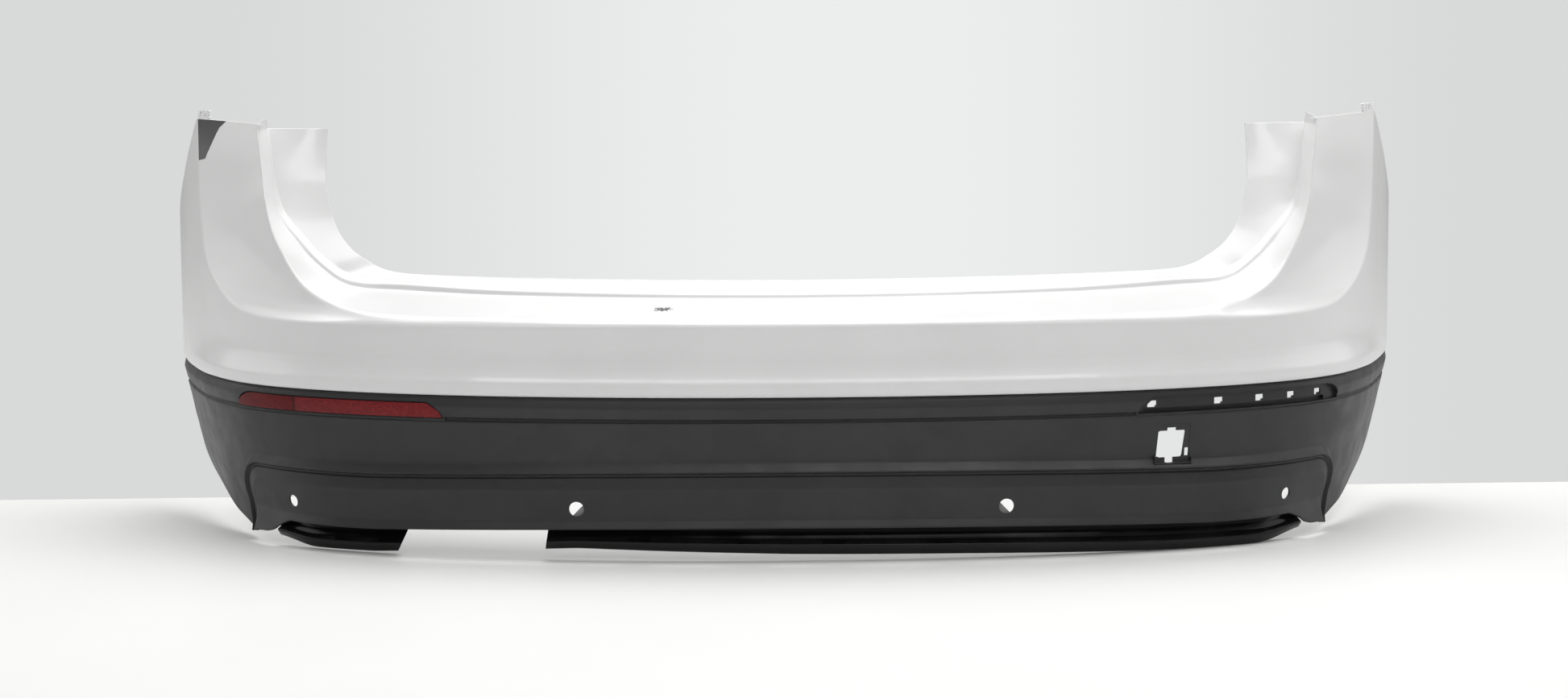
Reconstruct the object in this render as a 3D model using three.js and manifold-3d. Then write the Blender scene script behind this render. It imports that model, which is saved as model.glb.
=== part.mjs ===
// Rear bumper cover of a compact SUV: painted upper cover, grained lower cover, gloss lower trim,
// reflector, sensor holders and the clips and screws that hold them together.
// Millimetres. +X is the right side seen from behind the car, +Y points to the front of the car, +Z up.
import * as THREE from 'three';
import { mergeVertices } from 'three/addons/utils/BufferGeometryUtils.js';
import Module from 'manifold-3d';

const wasm = await Module();
wasm.setup();

// ---------------------------------------------------------------- driving dimensions
const SKIN = 3; // wall thickness of the moulded covers
const TRIM_SKIN = 2.5; // wall thickness of the lower trim
const GAP = 0.4; // clearance between neighbouring pieces
const SEAM_Z = 230; // height of the joint between the upper and the lower cover
const FLANGE_DEPTH = 17; // how far the joint flanges reach inwards
const LIP_LEVEL = 50; // bottom lip of the lower cover at the centre
const LEVEL_DROP = 10; // how much the lower features fall towards the corners
// Parking sensor holes: place along the wall, height, diameter.
const SENSORS = [[-732, 68, 17.5], [-298, 74.5, 21], [298, 74.5, 21], [732, 68, 17.5]];
const SENSOR_NAMES = ['outer_left', 'inner_left', 'inner_right', 'outer_right'];
const POCKET = { near: 486, round: 800, far: 834, bottom: 197, top: 220.5, depth: 10, floor: 3 };
const POCKET_HOLES = [509, 612, 680, 737, 792]; // clip holes in the reflector pocket floor
const POCKET_HOLE = { width: 14, height: 10, z: 209 };
const CHANNEL = { from: 496, to: 806, top: 203.5, depth: 15 }; // deep channel along the pocket's lower edge
const TOW = { left: 517, right: 557, bottom: 133, top: 171 }; // towing eye opening
const TOW_SEAT = { left: 513.5, right: 566.5, low: 141.8, high: 183, depth: 0.8 }; // shallow seat of its cap
const TOW_SLOT = { bottom: 126.5, top: 133.5, depth: 12, floor: 3 }; // slots for the cap's lugs, in the ridge
const EXHAUST = { inner: -338, outer: -538.5, innerSlant: 6, outerSlant: 27 }; // cut-out in the lower trim
const SEAM_CLIPS = [-1010, -830, -640, -430, -215, 0, 215, 430, 640, 830, 1010];
const TRIM_SCREWS = [-660, -590, -215, -60, 60, 215, 430, 660];
const TAB_LEVEL = 58; // tabs inside the lower cover that carry the trim
const TAB_T = 2.6; // thickness of the tabs that carry the trim
const SCREW_INSET = 14; // trim screws, inwards of the lower skin
const HOLDER = { width: 51, height: 31, sheet: 2.2, open: 41.5, clear: 24, back: 2.9 }; // sensor holder
const GUSSET = { offset: 2.5, within: 500 }; // the inner holders' web: distance from the hole's axis

// Half of the plan curve of the outermost wall, from the centre to the wheel arch: x, y.
const PLAN_HALF = [
  [0, 0], [190, 7], [400, 34], [560, 75], [690, 132],
  [780, 203], [838, 295], [875, 395], [903, 500], [920, 600],
];

// Matched stations of the upper cover, from the centre to the top of the horn.
// Wall edges are given along the wall and in height; the inner lines as x, y, z.
const LOWER_EDGE = [
  [0, 230], [190, 230], [400, 230], [560, 230], [650, 230], [745, 230], [850, 230], [960, 230],
  [1085, 231], [1195, 234], [1211, 330], [1212, 432], [1150, 470], [1087, 508], [1030, 556], [985, 594],
];
const CREASE = [
  [0, 330], [190, 330], [400, 328], [552, 327], [624, 327], [712, 327], [800, 332], [847, 341],
  [891, 358], [931, 383], [955, 412], [966, 452], [972, 500], [974, 540], [975, 572], [975, 598],
];
const SHOULDER = [
  [0, 14, 334], [190, 21, 334], [400, 48, 335], [545, 90, 337], [600, 113, 341], [640, 142, 349],
  [676, 166, 366], [698, 182, 388], [717, 196, 420], [729, 204, 444], [736, 210, 468], [741, 216, 494],
  [744, 222, 520], [747, 227, 550], [750, 232, 576], [752, 236, 595],
];
const RISER_FOOT = [
  [0, 100, 356], [190, 107, 357], [402, 139, 359], [547, 191, 362], [605, 208, 364], [638, 227, 371],
  [664, 240, 388], [686, 250, 407], [705, 259, 429], [720, 268, 447], [731, 277, 466], [736, 287, 493],
  [739, 296, 520], [743, 305, 550], [747, 314, 578], [750, 322, 598],
];
const RISER_TOP = [
  [0, 103, 362], [190, 110, 363], [402, 142, 366], [547, 194, 370], [605, 212, 371], [635, 230, 377],
  [660.5, 242, 393], [682, 252, 411.5], [700.5, 261, 432.5], [716, 270, 449.5], [728, 279, 468],
  [734.5, 290, 494], [739, 299, 520], [743, 308.5, 549], [747, 318, 576], [750, 326, 598],
];
const LEDGE_EDGE = [
  [0, 138, 375], [190, 145, 376], [403, 172, 378], [548, 215, 378], [603, 232, 379], [632, 247, 382.5],
  [655.5, 253, 397.5], [676.5, 261.5, 416], [695, 270, 436], [711, 278, 452.5], [724.5, 287, 470],
  [733, 297, 494], [738, 305, 519], [743, 313.5, 546], [747, 322, 568], [750, 330, 583],
];
const FLANGE_EDGE = [
  [0, 141, 378], [190, 148, 379], [403, 175, 381], [530, 218, 382], [575, 240, 387], [603, 257, 399],
  [624, 271, 412], [641, 283, 431], [651, 291, 449], [657, 297, 466], [662, 303, 486], [665, 309, 505],
  [665, 314, 523], [665, 319, 545], [664, 323, 565], [663, 326, 582],
];

// ---------------------------------------------------------------- small helpers
const lerp = THREE.MathUtils.lerp;
const smoothstep = THREE.MathUtils.smoothstep;

// Piecewise linear value of a list of [position, value] pairs in rising order.
function table(pairs, at) {
  let k = 0;
  while (k < pairs.length - 2 && at > pairs[k + 1][0]) {
    k += 1;
  }
  const [x0, y0] = pairs[k];
  const [x1, y1] = pairs[k + 1];
  return lerp(y0, y1, THREE.MathUtils.clamp((at - x0) / (x1 - x0), 0, 1));
}

// Smooth curve value between matched stations; at is a station number with a fraction.
function alongStations(points, at) {
  const k = Math.min(Math.floor(at), points.length - 2);
  const t = at - k;
  const p = [k - 1, k, k + 1, k + 2].map((n) => points[THREE.MathUtils.clamp(n, 0, points.length - 1)]);
  return p[1].map((_, axis) => {
    const [a, b, c, d] = p.map((point) => point[axis]);
    const bend = 2 * a - 5 * b + 4 * c - d;
    const twist = 3 * b - a - 3 * c + d;
    return b + 0.5 * ((c - a) * t + bend * t ** 2 + twist * t ** 3);
  });
}

function straightStations(points, at) {
  const k = Math.min(Math.floor(at), points.length - 2);
  return points[k].map((value, axis) => lerp(value, points[k + 1][axis], at - k));
}

// ---------------------------------------------------------------- the outer wall
const mirrored = PLAN_HALF.slice(1).reverse().map(([x, y]) => [-x, y]);
const planCurve = new THREE.SplineCurve([...mirrored, ...PLAN_HALF].map(([x, y]) => new THREE.Vector2(x, y)));
planCurve.arcLengthDivisions = 3000;
const PLAN_LENGTH = planCurve.getLength();

// Point of the wall at a distance along it from the centre, at a height, moved inwards by inset.
function wallPoint(along, z, inset) {
  const u = 0.5 + along / PLAN_LENGTH;
  const p = planCurve.getPointAt(u);
  const t = planCurve.getTangentAt(u);
  return new THREE.Vector3(p.x - t.y * inset, p.y + t.x * inset, z);
}

function outwardNormal(along) {
  const t = planCurve.getTangentAt(0.5 + along / PLAN_LENGTH);
  return new THREE.Vector3(t.y, -t.x, 0);
}

// Inset of the painted wall: chamfer at the seam, full lower bulge, hollow face above it.
const UPPER_PROFILE = [
  [230, 2.5], [235, 0.4], [246, 0], [249, 0.2], [257, 3], [266, 5.4], [277, 7.2], [289, 8], [600, 8],
];
const FLATTEN = { from: 850, to: 1100, share: 1 }; // the profile flattens out on the wings
function upperInset(along, z) {
  const flat = FLATTEN.share * smoothstep(Math.abs(along), FLATTEN.from, FLATTEN.to);
  return table(UPPER_PROFILE, z) * (1 - flat);
}

// Lower features sink towards the corners; level is the height they have at the centre.
const DROP = { reach: 600, none: 200, full: 140 }; // place along the wall, levels
function dropAt(along, level) {
  const share = Math.min(Math.abs(along) / DROP.reach, 1) ** 2;
  const sink = THREE.MathUtils.clamp((DROP.none - level) / (DROP.none - DROP.full), 0, 1);
  return LEVEL_DROP * share * sink;
}

// Signed distance to the U-shaped groove round the sensor band, positive inside it.
const GROOVE = { half: 855, level: 122, radius: 50 };
function insideGroove(along, level) {
  const dx = Math.abs(along) - (GROOVE.half - GROOVE.radius);
  const dz = level - (GROOVE.level - GROOVE.radius);
  const reach = dx > 0 && dz > 0 ? Math.hypot(dx, dz) : Math.max(dx, dz);
  return GROOVE.radius - reach;
}

const LOWER_PROFILE = [
  [0, 16], [140, 12], [194, 4.5], [197, 7], [200, 4], [215, 1], [224, 3], [226, 4], [229.6, 7.5],
];
const TUCK = { from: 650, to: 850 }; // where the corners begin to tuck under
const TUCK_PROFILE = [
  [10, 26], [30, 30], [65, 26], [104, 15], [133, 9], [151, 6], [173, 4], [195, 1], [217, 0],
];
const GROOVE_PROFILE = [[-17, 0], [-6, -10], [-4, -9.5], [-2.5, -3], [1.5, -3], [3, -5], [18, -9], [60, -9]];
const LIP = { level: 61, slope: 0.4, inside: 20 }; // the bottom lip kicks outwards
function lowerInset(along, level) {
  const tuck = table(TUCK_PROFILE, level) * smoothstep(Math.abs(along), TUCK.from, TUCK.to);
  const inside = insideGroove(along, level);
  const lip = inside > LIP.inside ? LIP.slope * Math.max(LIP.level - level, 0) : 0;
  return table(LOWER_PROFILE, level) + tuck + table(GROOVE_PROFILE, inside) - lip;
}

function lowerPoint(along, level, extra = 0) {
  return wallPoint(along, level - dropAt(along, level), lowerInset(along, level) + extra);
}

// ---------------------------------------------------------------- solids
function meshOf(vertices, triangles) {
  const geometry = new THREE.BufferGeometry();
  const numbers = vertices.flatMap((v) => [v.x, v.y, v.z]);
  geometry.setAttribute('position', new THREE.Float32BufferAttribute(numbers, 3));
  geometry.setIndex(triangles);
  return geometry;
}

function solid(geometry) {
  const bare = geometry.clone();
  bare.deleteAttribute('normal');
  bare.deleteAttribute('uv');
  const merged = mergeVertices(bare, 1e-4);
  const vertProperties = new Float32Array(merged.attributes.position.array);
  const triVerts = new Uint32Array(merged.index.array);
  return new wasm.Manifold(new wasm.Mesh({ numProp: 3, vertProperties, triVerts }));
}

function geometryOf(manifold) {
  const mesh = manifold.getMesh();
  const geometry = new THREE.BufferGeometry();
  geometry.setAttribute('position', new THREE.Float32BufferAttribute(mesh.vertProperties, 3));
  geometry.setIndex(Array.from(mesh.triVerts));
  geometry.computeVertexNormals();
  return geometry;
}

// Joins quads into the skin of a closed shell: outer grid, offset inner grid and the four rims.
function shell(outer, thickness) {
  const ni = outer.length;
  const nj = outer[0].length;
  const unit = (a, b) => new THREE.Vector3().subVectors(b, a).normalize();
  const inner = outer.map((line, i) => line.map((point, j) => {
    const before = outer[Math.max(i - 1, 0)][j];
    const after = outer[Math.min(i + 1, ni - 1)][j];
    const run = unit(before, point).add(unit(point, after)).normalize();
    const below = j > 0 ? unit(line[j - 1], point) : unit(point, line[j + 1]);
    const above = j < nj - 1 ? unit(point, line[j + 1]) : below;
    const first = new THREE.Vector3().crossVectors(run, below).normalize();
    const second = new THREE.Vector3().crossVectors(run, above).normalize();
    const normal = first.clone().add(second).normalize();
    const mitre = 1 / Math.max(normal.dot(first), 0.7);
    return point.clone().addScaledVector(normal, -thickness * mitre);
  }));
  const id = (side, i, j) => side * ni * nj + i * nj + j;
  const triangles = [];
  const quad = (a, b, c, d) => triangles.push(a, b, c, a, c, d);
  for (let i = 0; i < ni - 1; i += 1) {
    for (let j = 0; j < nj - 1; j += 1) {
      quad(id(0, i, j), id(0, i + 1, j), id(0, i + 1, j + 1), id(0, i, j + 1));
      quad(id(1, i, j), id(1, i, j + 1), id(1, i + 1, j + 1), id(1, i + 1, j));
    }
    quad(id(0, i, 0), id(1, i, 0), id(1, i + 1, 0), id(0, i + 1, 0));
    quad(id(0, i, nj - 1), id(0, i + 1, nj - 1), id(1, i + 1, nj - 1), id(1, i, nj - 1));
  }
  for (let j = 0; j < nj - 1; j += 1) {
    quad(id(0, 0, j), id(0, 0, j + 1), id(1, 0, j + 1), id(1, 0, j));
    quad(id(0, ni - 1, j), id(1, ni - 1, j), id(1, ni - 1, j + 1), id(0, ni - 1, j + 1));
  }
  return solid(meshOf([...outer.flat(), ...inner.flat()], triangles));
}

// Bar whose four-cornered section changes along its length. Corners: outer low, outer high,
// inner high, inner low.
function bar(sections) {
  const triangles = [];
  const quad = (a, b, c, d) => triangles.push(a, b, c, a, c, d);
  for (let i = 0; i < sections.length - 1; i += 1) {
    for (let c = 0; c < 4; c += 1) {
      const next = (c + 1) % 4;
      quad(4 * i + c, 4 * (i + 1) + c, 4 * (i + 1) + next, 4 * i + next);
    }
  }
  const last = 4 * (sections.length - 1);
  quad(0, 1, 2, 3);
  quad(last, last + 3, last + 2, last + 1);
  return solid(meshOf(sections.flat(), triangles));
}

// Evenly spread positions from one end to the other, both included.
function spread(from, to, step) {
  const count = Math.max(1, Math.ceil(Math.abs(to - from) / step));
  return Array.from({ length: count + 1 }, (_, n) => lerp(from, to, n / count));
}

// Block that follows the wall between two places, two heights and two insets.
function wallBlock(from, to, low, high, outer, inner, step = 60) {
  return bar(spread(from, to, step).map((s) => [
    wallPoint(s, low, outer), wallPoint(s, high, outer), wallPoint(s, high, inner), wallPoint(s, low, inner),
  ]));
}

// The same, with heights as levels of the lower cover and insets measured from its skin.
function lowerBlock(from, to, low, high, outer, inner, step = 45) {
  const corner = (s, level, inset) => wallPoint(s, level - dropAt(s, level), inset + lowerInset(s, level));
  return bar(spread(from, to, step).map((s) => [
    corner(s, low, outer), corner(s, high, outer), corner(s, high, inner), corner(s, low, inner),
  ]));
}

// Turns a geometry built along +Z so that +Z points out of the wall, and moves it there.
function placeOnWall(geometry, along, z, inset) {
  const out = outwardNormal(along);
  const up = new THREE.Vector3(0, 0, 1);
  const right = new THREE.Vector3().crossVectors(up, out);
  const matrix = new THREE.Matrix4().makeBasis(right, up, out);
  matrix.setPosition(wallPoint(along, z, inset));
  return geometry.clone().applyMatrix4(matrix);
}

// The same for the lower cover's own skin, whose slope it follows; depth is measured inwards.
function placeOnSkin(geometry, along, z, depth) {
  const level = z + dropAt(along, z);
  const at = lowerPoint(along, level);
  const reach = 12;
  const across = lowerPoint(along + reach, level).sub(lowerPoint(along - reach, level)).normalize();
  const up = lowerPoint(along, level + reach).sub(lowerPoint(along, level - reach)).normalize();
  const out = new THREE.Vector3().crossVectors(across, up).normalize();
  const matrix = new THREE.Matrix4().makeBasis(across, new THREE.Vector3().crossVectors(out, across), out);
  matrix.setPosition(at.addScaledVector(out, -depth));
  return geometry.clone().applyMatrix4(matrix);
}

function roundPin(radius, length, segments = 20) {
  return new THREE.CylinderGeometry(radius, radius, length, segments).rotateX(Math.PI / 2);
}

const paint = new THREE.Color(0.9, 0.91, 0.92);
const finish = {
  paint: { color: paint, roughness: 0.2, metalness: 0 },
  grained: { color: new THREE.Color(0.035, 0.036, 0.038), roughness: 0.6, metalness: 0 },
  gloss: { color: new THREE.Color(0.01, 0.01, 0.011), roughness: 0.12, metalness: 0 },
  moulded: { color: new THREE.Color(0.03, 0.03, 0.03), roughness: 0.5, metalness: 0 },
  lens: { color: new THREE.Color(0.45, 0.02, 0.03), roughness: 0.15, metalness: 0 },
  steel: { color: new THREE.Color(0.42, 0.42, 0.44), roughness: 0.35, metalness: 0.9 },
};

const assembly = new THREE.Group();
function addPiece(name, geometry, look) {
  const mesh = new THREE.Mesh(geometry, new THREE.MeshStandardMaterial(finish[look]));
  mesh.name = name;
  assembly.add(mesh);
  return mesh;
}

// ---------------------------------------------------------------- upper cover
const WALL_ROWS = [0, 0.05, 0.18, 0.27, 0.37, 0.6]; // share of the way from the seam to the crease
const SCOOP_ROWS = [0, 0.33, 0.67]; // share of the way from the crease to the shoulder
const HORN_STATION = LOWER_EDGE.length - 1;
const SCOOP_SAG = 7; // how far the corner scoop sags below a straight line

function upperSection(station, side) {
  const [edgeAlong, edgeZ] = straightStations(LOWER_EDGE, station);
  const [creaseAlong, creaseZ] = alongStations(CREASE, station);
  const wall = WALL_ROWS.map((share) => {
    const along = lerp(edgeAlong, creaseAlong, share);
    const z = lerp(edgeZ, creaseZ, share);
    return wallPoint(along, z, upperInset(along, z));
  });
  const flange = wallPoint(edgeAlong, edgeZ, upperInset(edgeAlong, edgeZ) + FLANGE_DEPTH);
  const crease = wallPoint(creaseAlong, creaseZ, upperInset(creaseAlong, creaseZ));
  const shoulder = new THREE.Vector3(...alongStations(SHOULDER, station));
  const hollow = SCOOP_SAG * smoothstep(station, 3.5, 6) * (1 - smoothstep(station, 8, 14));
  const scoop = SCOOP_ROWS.map((share) => {
    const point = crease.clone().lerp(shoulder, share);
    const sag = hollow * 4 * share * (1 - share);
    return point.add(new THREE.Vector3(0, sag, -sag));
  });
  const inner = [SHOULDER, RISER_FOOT, RISER_TOP, LEDGE_EDGE, FLANGE_EDGE];
  const lines = inner.map((line) => new THREE.Vector3(...alongStations(line, station)));
  return [flange, ...wall, ...scoop, ...lines].map((p) => new THREE.Vector3(side * p.x, p.y, p.z));
}

function upperCover() {
  const stations = spread(0, HORN_STATION, 0.5);
  const left = stations.slice(1).reverse().map((k) => upperSection(k, -1));
  const right = stations.map((k) => upperSection(k, 1));
  let body = shell([...left, ...right], SKIN);
  for (const side of [-1, 1]) {
    body = body.add(hornTab(side));
    body = body.add(topReturn(side, SHOULDER[HORN_STATION], hornCorner(1), HORN_RETURN));
    body = body.add(topReturn(side, FLANGE_EDGE[HORN_STATION], LEDGE_EDGE[HORN_STATION], FLANGE_RETURN));
    body = body.add(flangePad(side));
    body = body.add(guidePad(side));
  }
  return body.add(sillPad());
}

// Outer top corner of the horn, where the crease ends.
function hornCorner(side) {
  const [along, z] = CREASE[HORN_STATION];
  return wallPoint(side * along, z, upperInset(along, z)).toArray();
}

// Stiffening fold along a top edge, from its end nearer the centre to its outer end.
const HORN_RETURN = 14;
const FLANGE_RETURN = 9;
const RETURN_SHEET = 2.6;
function topReturn(side, near, far, depth) {
  const ends = [near, far].map(([x, y, z]) => new THREE.Vector3(side * x, y, z));
  if (side < 0) {
    ends.reverse();
  }
  const up = new THREE.Vector3(0, 0, 1);
  const inwards = new THREE.Vector3().crossVectors(up, ends[1].clone().sub(ends[0])).normalize();
  const corners = [[0.3, -RETURN_SHEET], [0.3, 0], [depth, 0], [depth, -RETURN_SHEET]];
  return bar(ends.map((end) => corners.map(([deep, rise]) => (
    end.clone().addScaledVector(inwards, deep).addScaledVector(up, rise)
  ))));
}

// Ribbed fixing tab on the horn's top edge, next to the crease.
const HORN_TAB = { margin: 1, width: 26, height: 20, sheet: 3, z: 2.7 };
const TOOTH = { width: 3, height: 2.4, depth: 5, first: 1, pitch: 3.6, count: 3 };
function hornTab(side) {
  const corner = new THREE.Vector3(...hornCorner(1)).multiply(new THREE.Vector3(side, 1, 1));
  const shoulder = new THREE.Vector3(...SHOULDER[HORN_STATION]).multiply(new THREE.Vector3(side, 1, 1));
  const right = shoulder.sub(corner).setZ(0).normalize().multiplyScalar(-side);
  const up = new THREE.Vector3(0, 0, 1);
  const out = new THREE.Vector3().crossVectors(right, up);
  const basis = new THREE.Matrix4().makeBasis(right, up, out).setPosition(corner);
  const place = (geometry) => solid(geometry.applyMatrix4(basis));
  const { margin, width, height, sheet, z } = HORN_TAB;
  const middle = -side * (margin + width / 2);
  let tab = place(new THREE.BoxGeometry(width, height, sheet).translate(middle, z, -sheet / 2));
  for (let n = 0; n < TOOTH.count; n += 1) {
    const tooth = new THREE.BoxGeometry(TOOTH.width, TOOTH.height, TOOTH.depth);
    tooth.translate(-side * (margin + width), z + TOOTH.first + n * TOOTH.pitch, -sheet / 2);
    tab = tab.add(place(tooth));
  }
  const eye = roundPin(2.4, 12, 12).translate(middle + side * 2, z + 4.5, 0);
  return tab.subtract(place(eye));
}

// Flat pads on the body side of the cover, where it bears on the car.
const FLANGE_PAD = { size: 44, thick: 8, x: 704, y: 321.1, z: 543.9, lean: 0.29, yaw: 0.077 };
function flangePad(side) {
  const pad = new THREE.BoxGeometry(FLANGE_PAD.size, FLANGE_PAD.thick, FLANGE_PAD.size);
  pad.rotateX(-FLANGE_PAD.lean).rotateZ(-side * FLANGE_PAD.yaw);
  return solid(pad.translate(side * FLANGE_PAD.x, FLANGE_PAD.y, FLANGE_PAD.z));
}

const SILL_PAD = { width: 60, depth: 24, thick: 7, y: 122.2, z: 363.8, slope: 0.356 };
function sillPad() {
  const pad = new THREE.BoxGeometry(SILL_PAD.width, SILL_PAD.depth, SILL_PAD.thick).rotateX(SILL_PAD.slope);
  return solid(pad.translate(0, SILL_PAD.y, SILL_PAD.z));
}

const GUIDE_PAD = { along: 1090, z: 455, inset: 6, width: 60, height: 34, thick: 7 };
function guidePad(side) {
  const pad = new THREE.BoxGeometry(GUIDE_PAD.width, GUIDE_PAD.height, GUIDE_PAD.thick);
  return solid(placeOnWall(pad, side * GUIDE_PAD.along, GUIDE_PAD.z, GUIDE_PAD.inset));
}

// ---------------------------------------------------------------- lower cover
const LOWER_ROWS = [50, 61, 104, 119, 122, 124.5, 128, 140, 194, 197, 200, 215, 226, 229.6];
const LOWER_EDGE_LEVELS = [
  [0, 50], [740, 50], [762, 42], [774, 34], [792, 30], [830, 28], [857, 20], [950, 40], [1166, 98],
];
const LOWER_STATIONS = [
  0, 150, 300, 430, 530, 620, 700, 745, 790, 826, 846, 855, 866, 910, 970, 1040, 1110, 1166,
];
const ARCH_START = 1110;

function lowerSection(station, side) {
  const foot = table(LOWER_EDGE_LEVELS, station);
  const share = Math.max(0, (station - ARCH_START) / (1166 - ARCH_START));
  const place = (level) => side * lerp(Math.min(station, ARCH_START), table(LOWER_ARCH, level) + 1, share);
  const skin = LOWER_ROWS.map((row) => {
    const level = row < 140 ? lerp(foot, 140, (row - LIP_LEVEL) / (140 - LIP_LEVEL)) : row;
    return lowerPoint(place(level), level);
  });
  const top = LOWER_ROWS[LOWER_ROWS.length - 1];
  return [...skin, wallPoint(place(top), top, 3 + FLANGE_DEPTH)];
}

// Return flange along the wheel arch: places of the edge along the wall against level.
const LOWER_ARCH = [[100, 1166], [133, 1172], [173, 1175], [210, 1182], [225, 1191]];
function archFlange(side) {
  const sections = LOWER_ARCH.map(([level, along]) => {
    const corners = [[0, 1], [-2.6, 1], [-2.6, FLANGE_DEPTH], [0, FLANGE_DEPTH]];
    return corners.map(([shift, deep]) => lowerPoint(side * (along + shift), level, deep));
  });
  return bar(side > 0 ? sections : sections.map((s) => [s[1], s[0], s[3], s[2]]));
}

// Block with the outline of the reflector: pointed inner end that curves up to the top edge, rounded
// outer end. The outline grows by margin; outer and inner are insets.
const POINT_SHARES = [0.12, 0.35, 0.6, 0.8, 1]; // height of the inner end, as shares of the full height
const POINT = { lean: 2, bow: 21, length: 30 };
const OUTER_END_PLACES = [812, 822, 829];
const OUTER_END_ROUND = 0.94; // 1 would bring the end down to the lower edge
function reflectorBlock(side, margin, outer, inner) {
  const { near, round, far, bottom, top } = POCKET;
  const tall = top - bottom + 2 * margin;
  const low = bottom - margin;
  const section = (s, high) => {
    const corners = [[low, outer], [high, outer], [high, inner], [low, inner]];
    return corners.map(([z, inset]) => wallPoint(side * s, z, inset));
  };
  const tip = near - margin;
  const point = POINT_SHARES.map((t) => [tip + POINT.bow * t ** 2 + POINT.lean * t, low + tall * t]);
  const full = spread(near + POINT.length, round, 50).map((s) => [s, low + tall]);
  const end = [...OUTER_END_PLACES, far + margin].map((s) => {
    const past = (s - round) / (far + margin - round);
    return [s, low + tall * Math.sqrt(1 - (OUTER_END_ROUND * past) ** 2)];
  });
  const sections = [...point, ...full, ...end].map(([s, high]) => section(s, high));
  return bar(side > 0 ? sections : sections.reverse());
}

function lowerCover() {
  const left = LOWER_STATIONS.slice(1).reverse().map((s) => lowerSection(s, -1));
  const right = LOWER_STATIONS.map((s) => lowerSection(s, 1));
  let body = shell([...left, ...right], SKIN);
  for (const along of TRIM_SCREWS) {
    body = body.add(trimTab(along, TAB_LEVEL, 1.5, 23));
  }
  for (const side of [-1, 1]) {
    body = reflectorPocket(body.add(archFlange(side)), side);
  }
  for (const [along, z, diameter] of SENSORS) {
    body = body.subtract(solid(placeOnSkin(roundPin(diameter / 2, 40, 20), along, z, 0)));
  }
  for (const along of TRIM_SCREWS) {
    body = body.subtract(screwHole(along));
  }
  return towOpening(body);
}

// Sunken seat of the reflector, with a deep channel along its lower edge and five clip holes.
function reflectorPocket(cover, side) {
  const { depth, floor, bottom } = POCKET;
  const [from, to] = side > 0 ? [CHANNEL.from, CHANNEL.to] : [-CHANNEL.to, -CHANNEL.from];
  const channelBack = CHANNEL.depth + floor;
  let body = cover.add(reflectorBlock(side, floor, 5, depth + floor));
  const low = bottom - floor;
  body = body.add(wallBlock(from - floor, to + floor, low, CHANNEL.top + floor, depth, channelBack));
  body = body.subtract(reflectorBlock(side, 0, -12, depth));
  body = body.subtract(wallBlock(from, to, bottom, CHANNEL.top, depth - 3, CHANNEL.depth));
  for (const along of POCKET_HOLES) {
    const hole = new THREE.BoxGeometry(POCKET_HOLE.width, POCKET_HOLE.height, 20);
    body = body.subtract(solid(placeOnWall(hole, side * along, POCKET_HOLE.z, depth + 4)));
  }
  return body;
}

// Level tab on the inside of the lower skin, or on the trim, round a trim screw.
function trimTab(along, level, outer, inner) {
  return lowerBlock(along - 16, along + 16, level, level + TAB_T, outer, inner);
}

function screwHole(along) {
  const hole = new THREE.CylinderGeometry(2.6, 2.6, 16, 12).rotateX(Math.PI / 2);
  const at = screwPlace(along);
  return solid(hole.translate(at.x, at.y, at.z - 3));
}

// Top of the tab on the axis of a trim screw.
function screwPlace(along) {
  return lowerPoint(along, TAB_LEVEL, SCREW_INSET).add(new THREE.Vector3(0, 0, TAB_T));
}

// Cuts the opening for the towing eye: the seat of its missing cap, lug slots and notches.
// Width, height, shift along the wall and shift up of each notch.
const TOW_NOTCHES = [[13.4, 8, 1.3, 19.3], [12.7, 12, -1.2, -20.7], [6, 11.5, 25.2, -12.2]];
const TOW_SLOT_BACKING = { margin: 2, thick: 10 };
function towOpening(cover) {
  const middle = (TOW.left + TOW.right) / 2;
  const height = (TOW.bottom + TOW.top) / 2;
  const { left, right, low, high, depth } = TOW_SEAT;
  const seatWidth = right - left;
  const seatMiddle = (left + right) / 2;
  const slotZ = (TOW_SLOT.bottom + TOW_SLOT.top) / 2;
  const slotTall = TOW_SLOT.top - TOW_SLOT.bottom;
  const { margin, thick } = TOW_SLOT_BACKING;
  const backing = new THREE.BoxGeometry(seatWidth + 2 * margin, slotTall + 2 * margin, thick);
  const slot = new THREE.BoxGeometry(seatWidth, slotTall, 30);
  const back = TOW_SLOT.depth + TOW_SLOT.floor;
  let body = cover.add(solid(placeOnWall(backing, seatMiddle, slotZ, back - thick / 2)));
  body = body.subtract(solid(placeOnWall(slot, seatMiddle, slotZ, TOW_SLOT.depth - 15)));
  body = body.subtract(lowerBlock(left, right, low, high, -5, depth, 14));
  const opening = [TOW.right - TOW.left, TOW.top - TOW.bottom, 0, 0];
  for (const [width, tall, shift, up] of [opening, ...TOW_NOTCHES]) {
    const box = new THREE.BoxGeometry(width, tall, 60).translate(shift, up, 0);
    body = body.subtract(solid(placeOnWall(box, middle, height, 5)));
  }
  return body;
}

// ---------------------------------------------------------------- lower trim
const TRIM_BOTTOM = [
  [-765, 15], [-735, 10], [-705, 4], [-680, 3.5], [-600, 3.8], [-546, 7], [-300, 17.5], [-190, 14.5],
  [0, 10], [150, 8.5], [250, 7], [530, 1], [680, 0], [705, 2], [735, 9], [765, 15],
];
// Share of the way from the bottom edge to the lip, and inset behind the outermost wall.
const TRIM_ROWS = [[0, 17], [0.24, 11], [0.31, 10.5], [0.43, 17], [0.65, 22], [1, 24]];
const TRIM_FOOT = { rise: 3, inset: 32 }; // inner end of the trim's underside
const TRIM_END = 765;
const TRIM_STATIONS = [0, 130, 260, 400, 500, 570, 630, 690, 730, TRIM_END];

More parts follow.
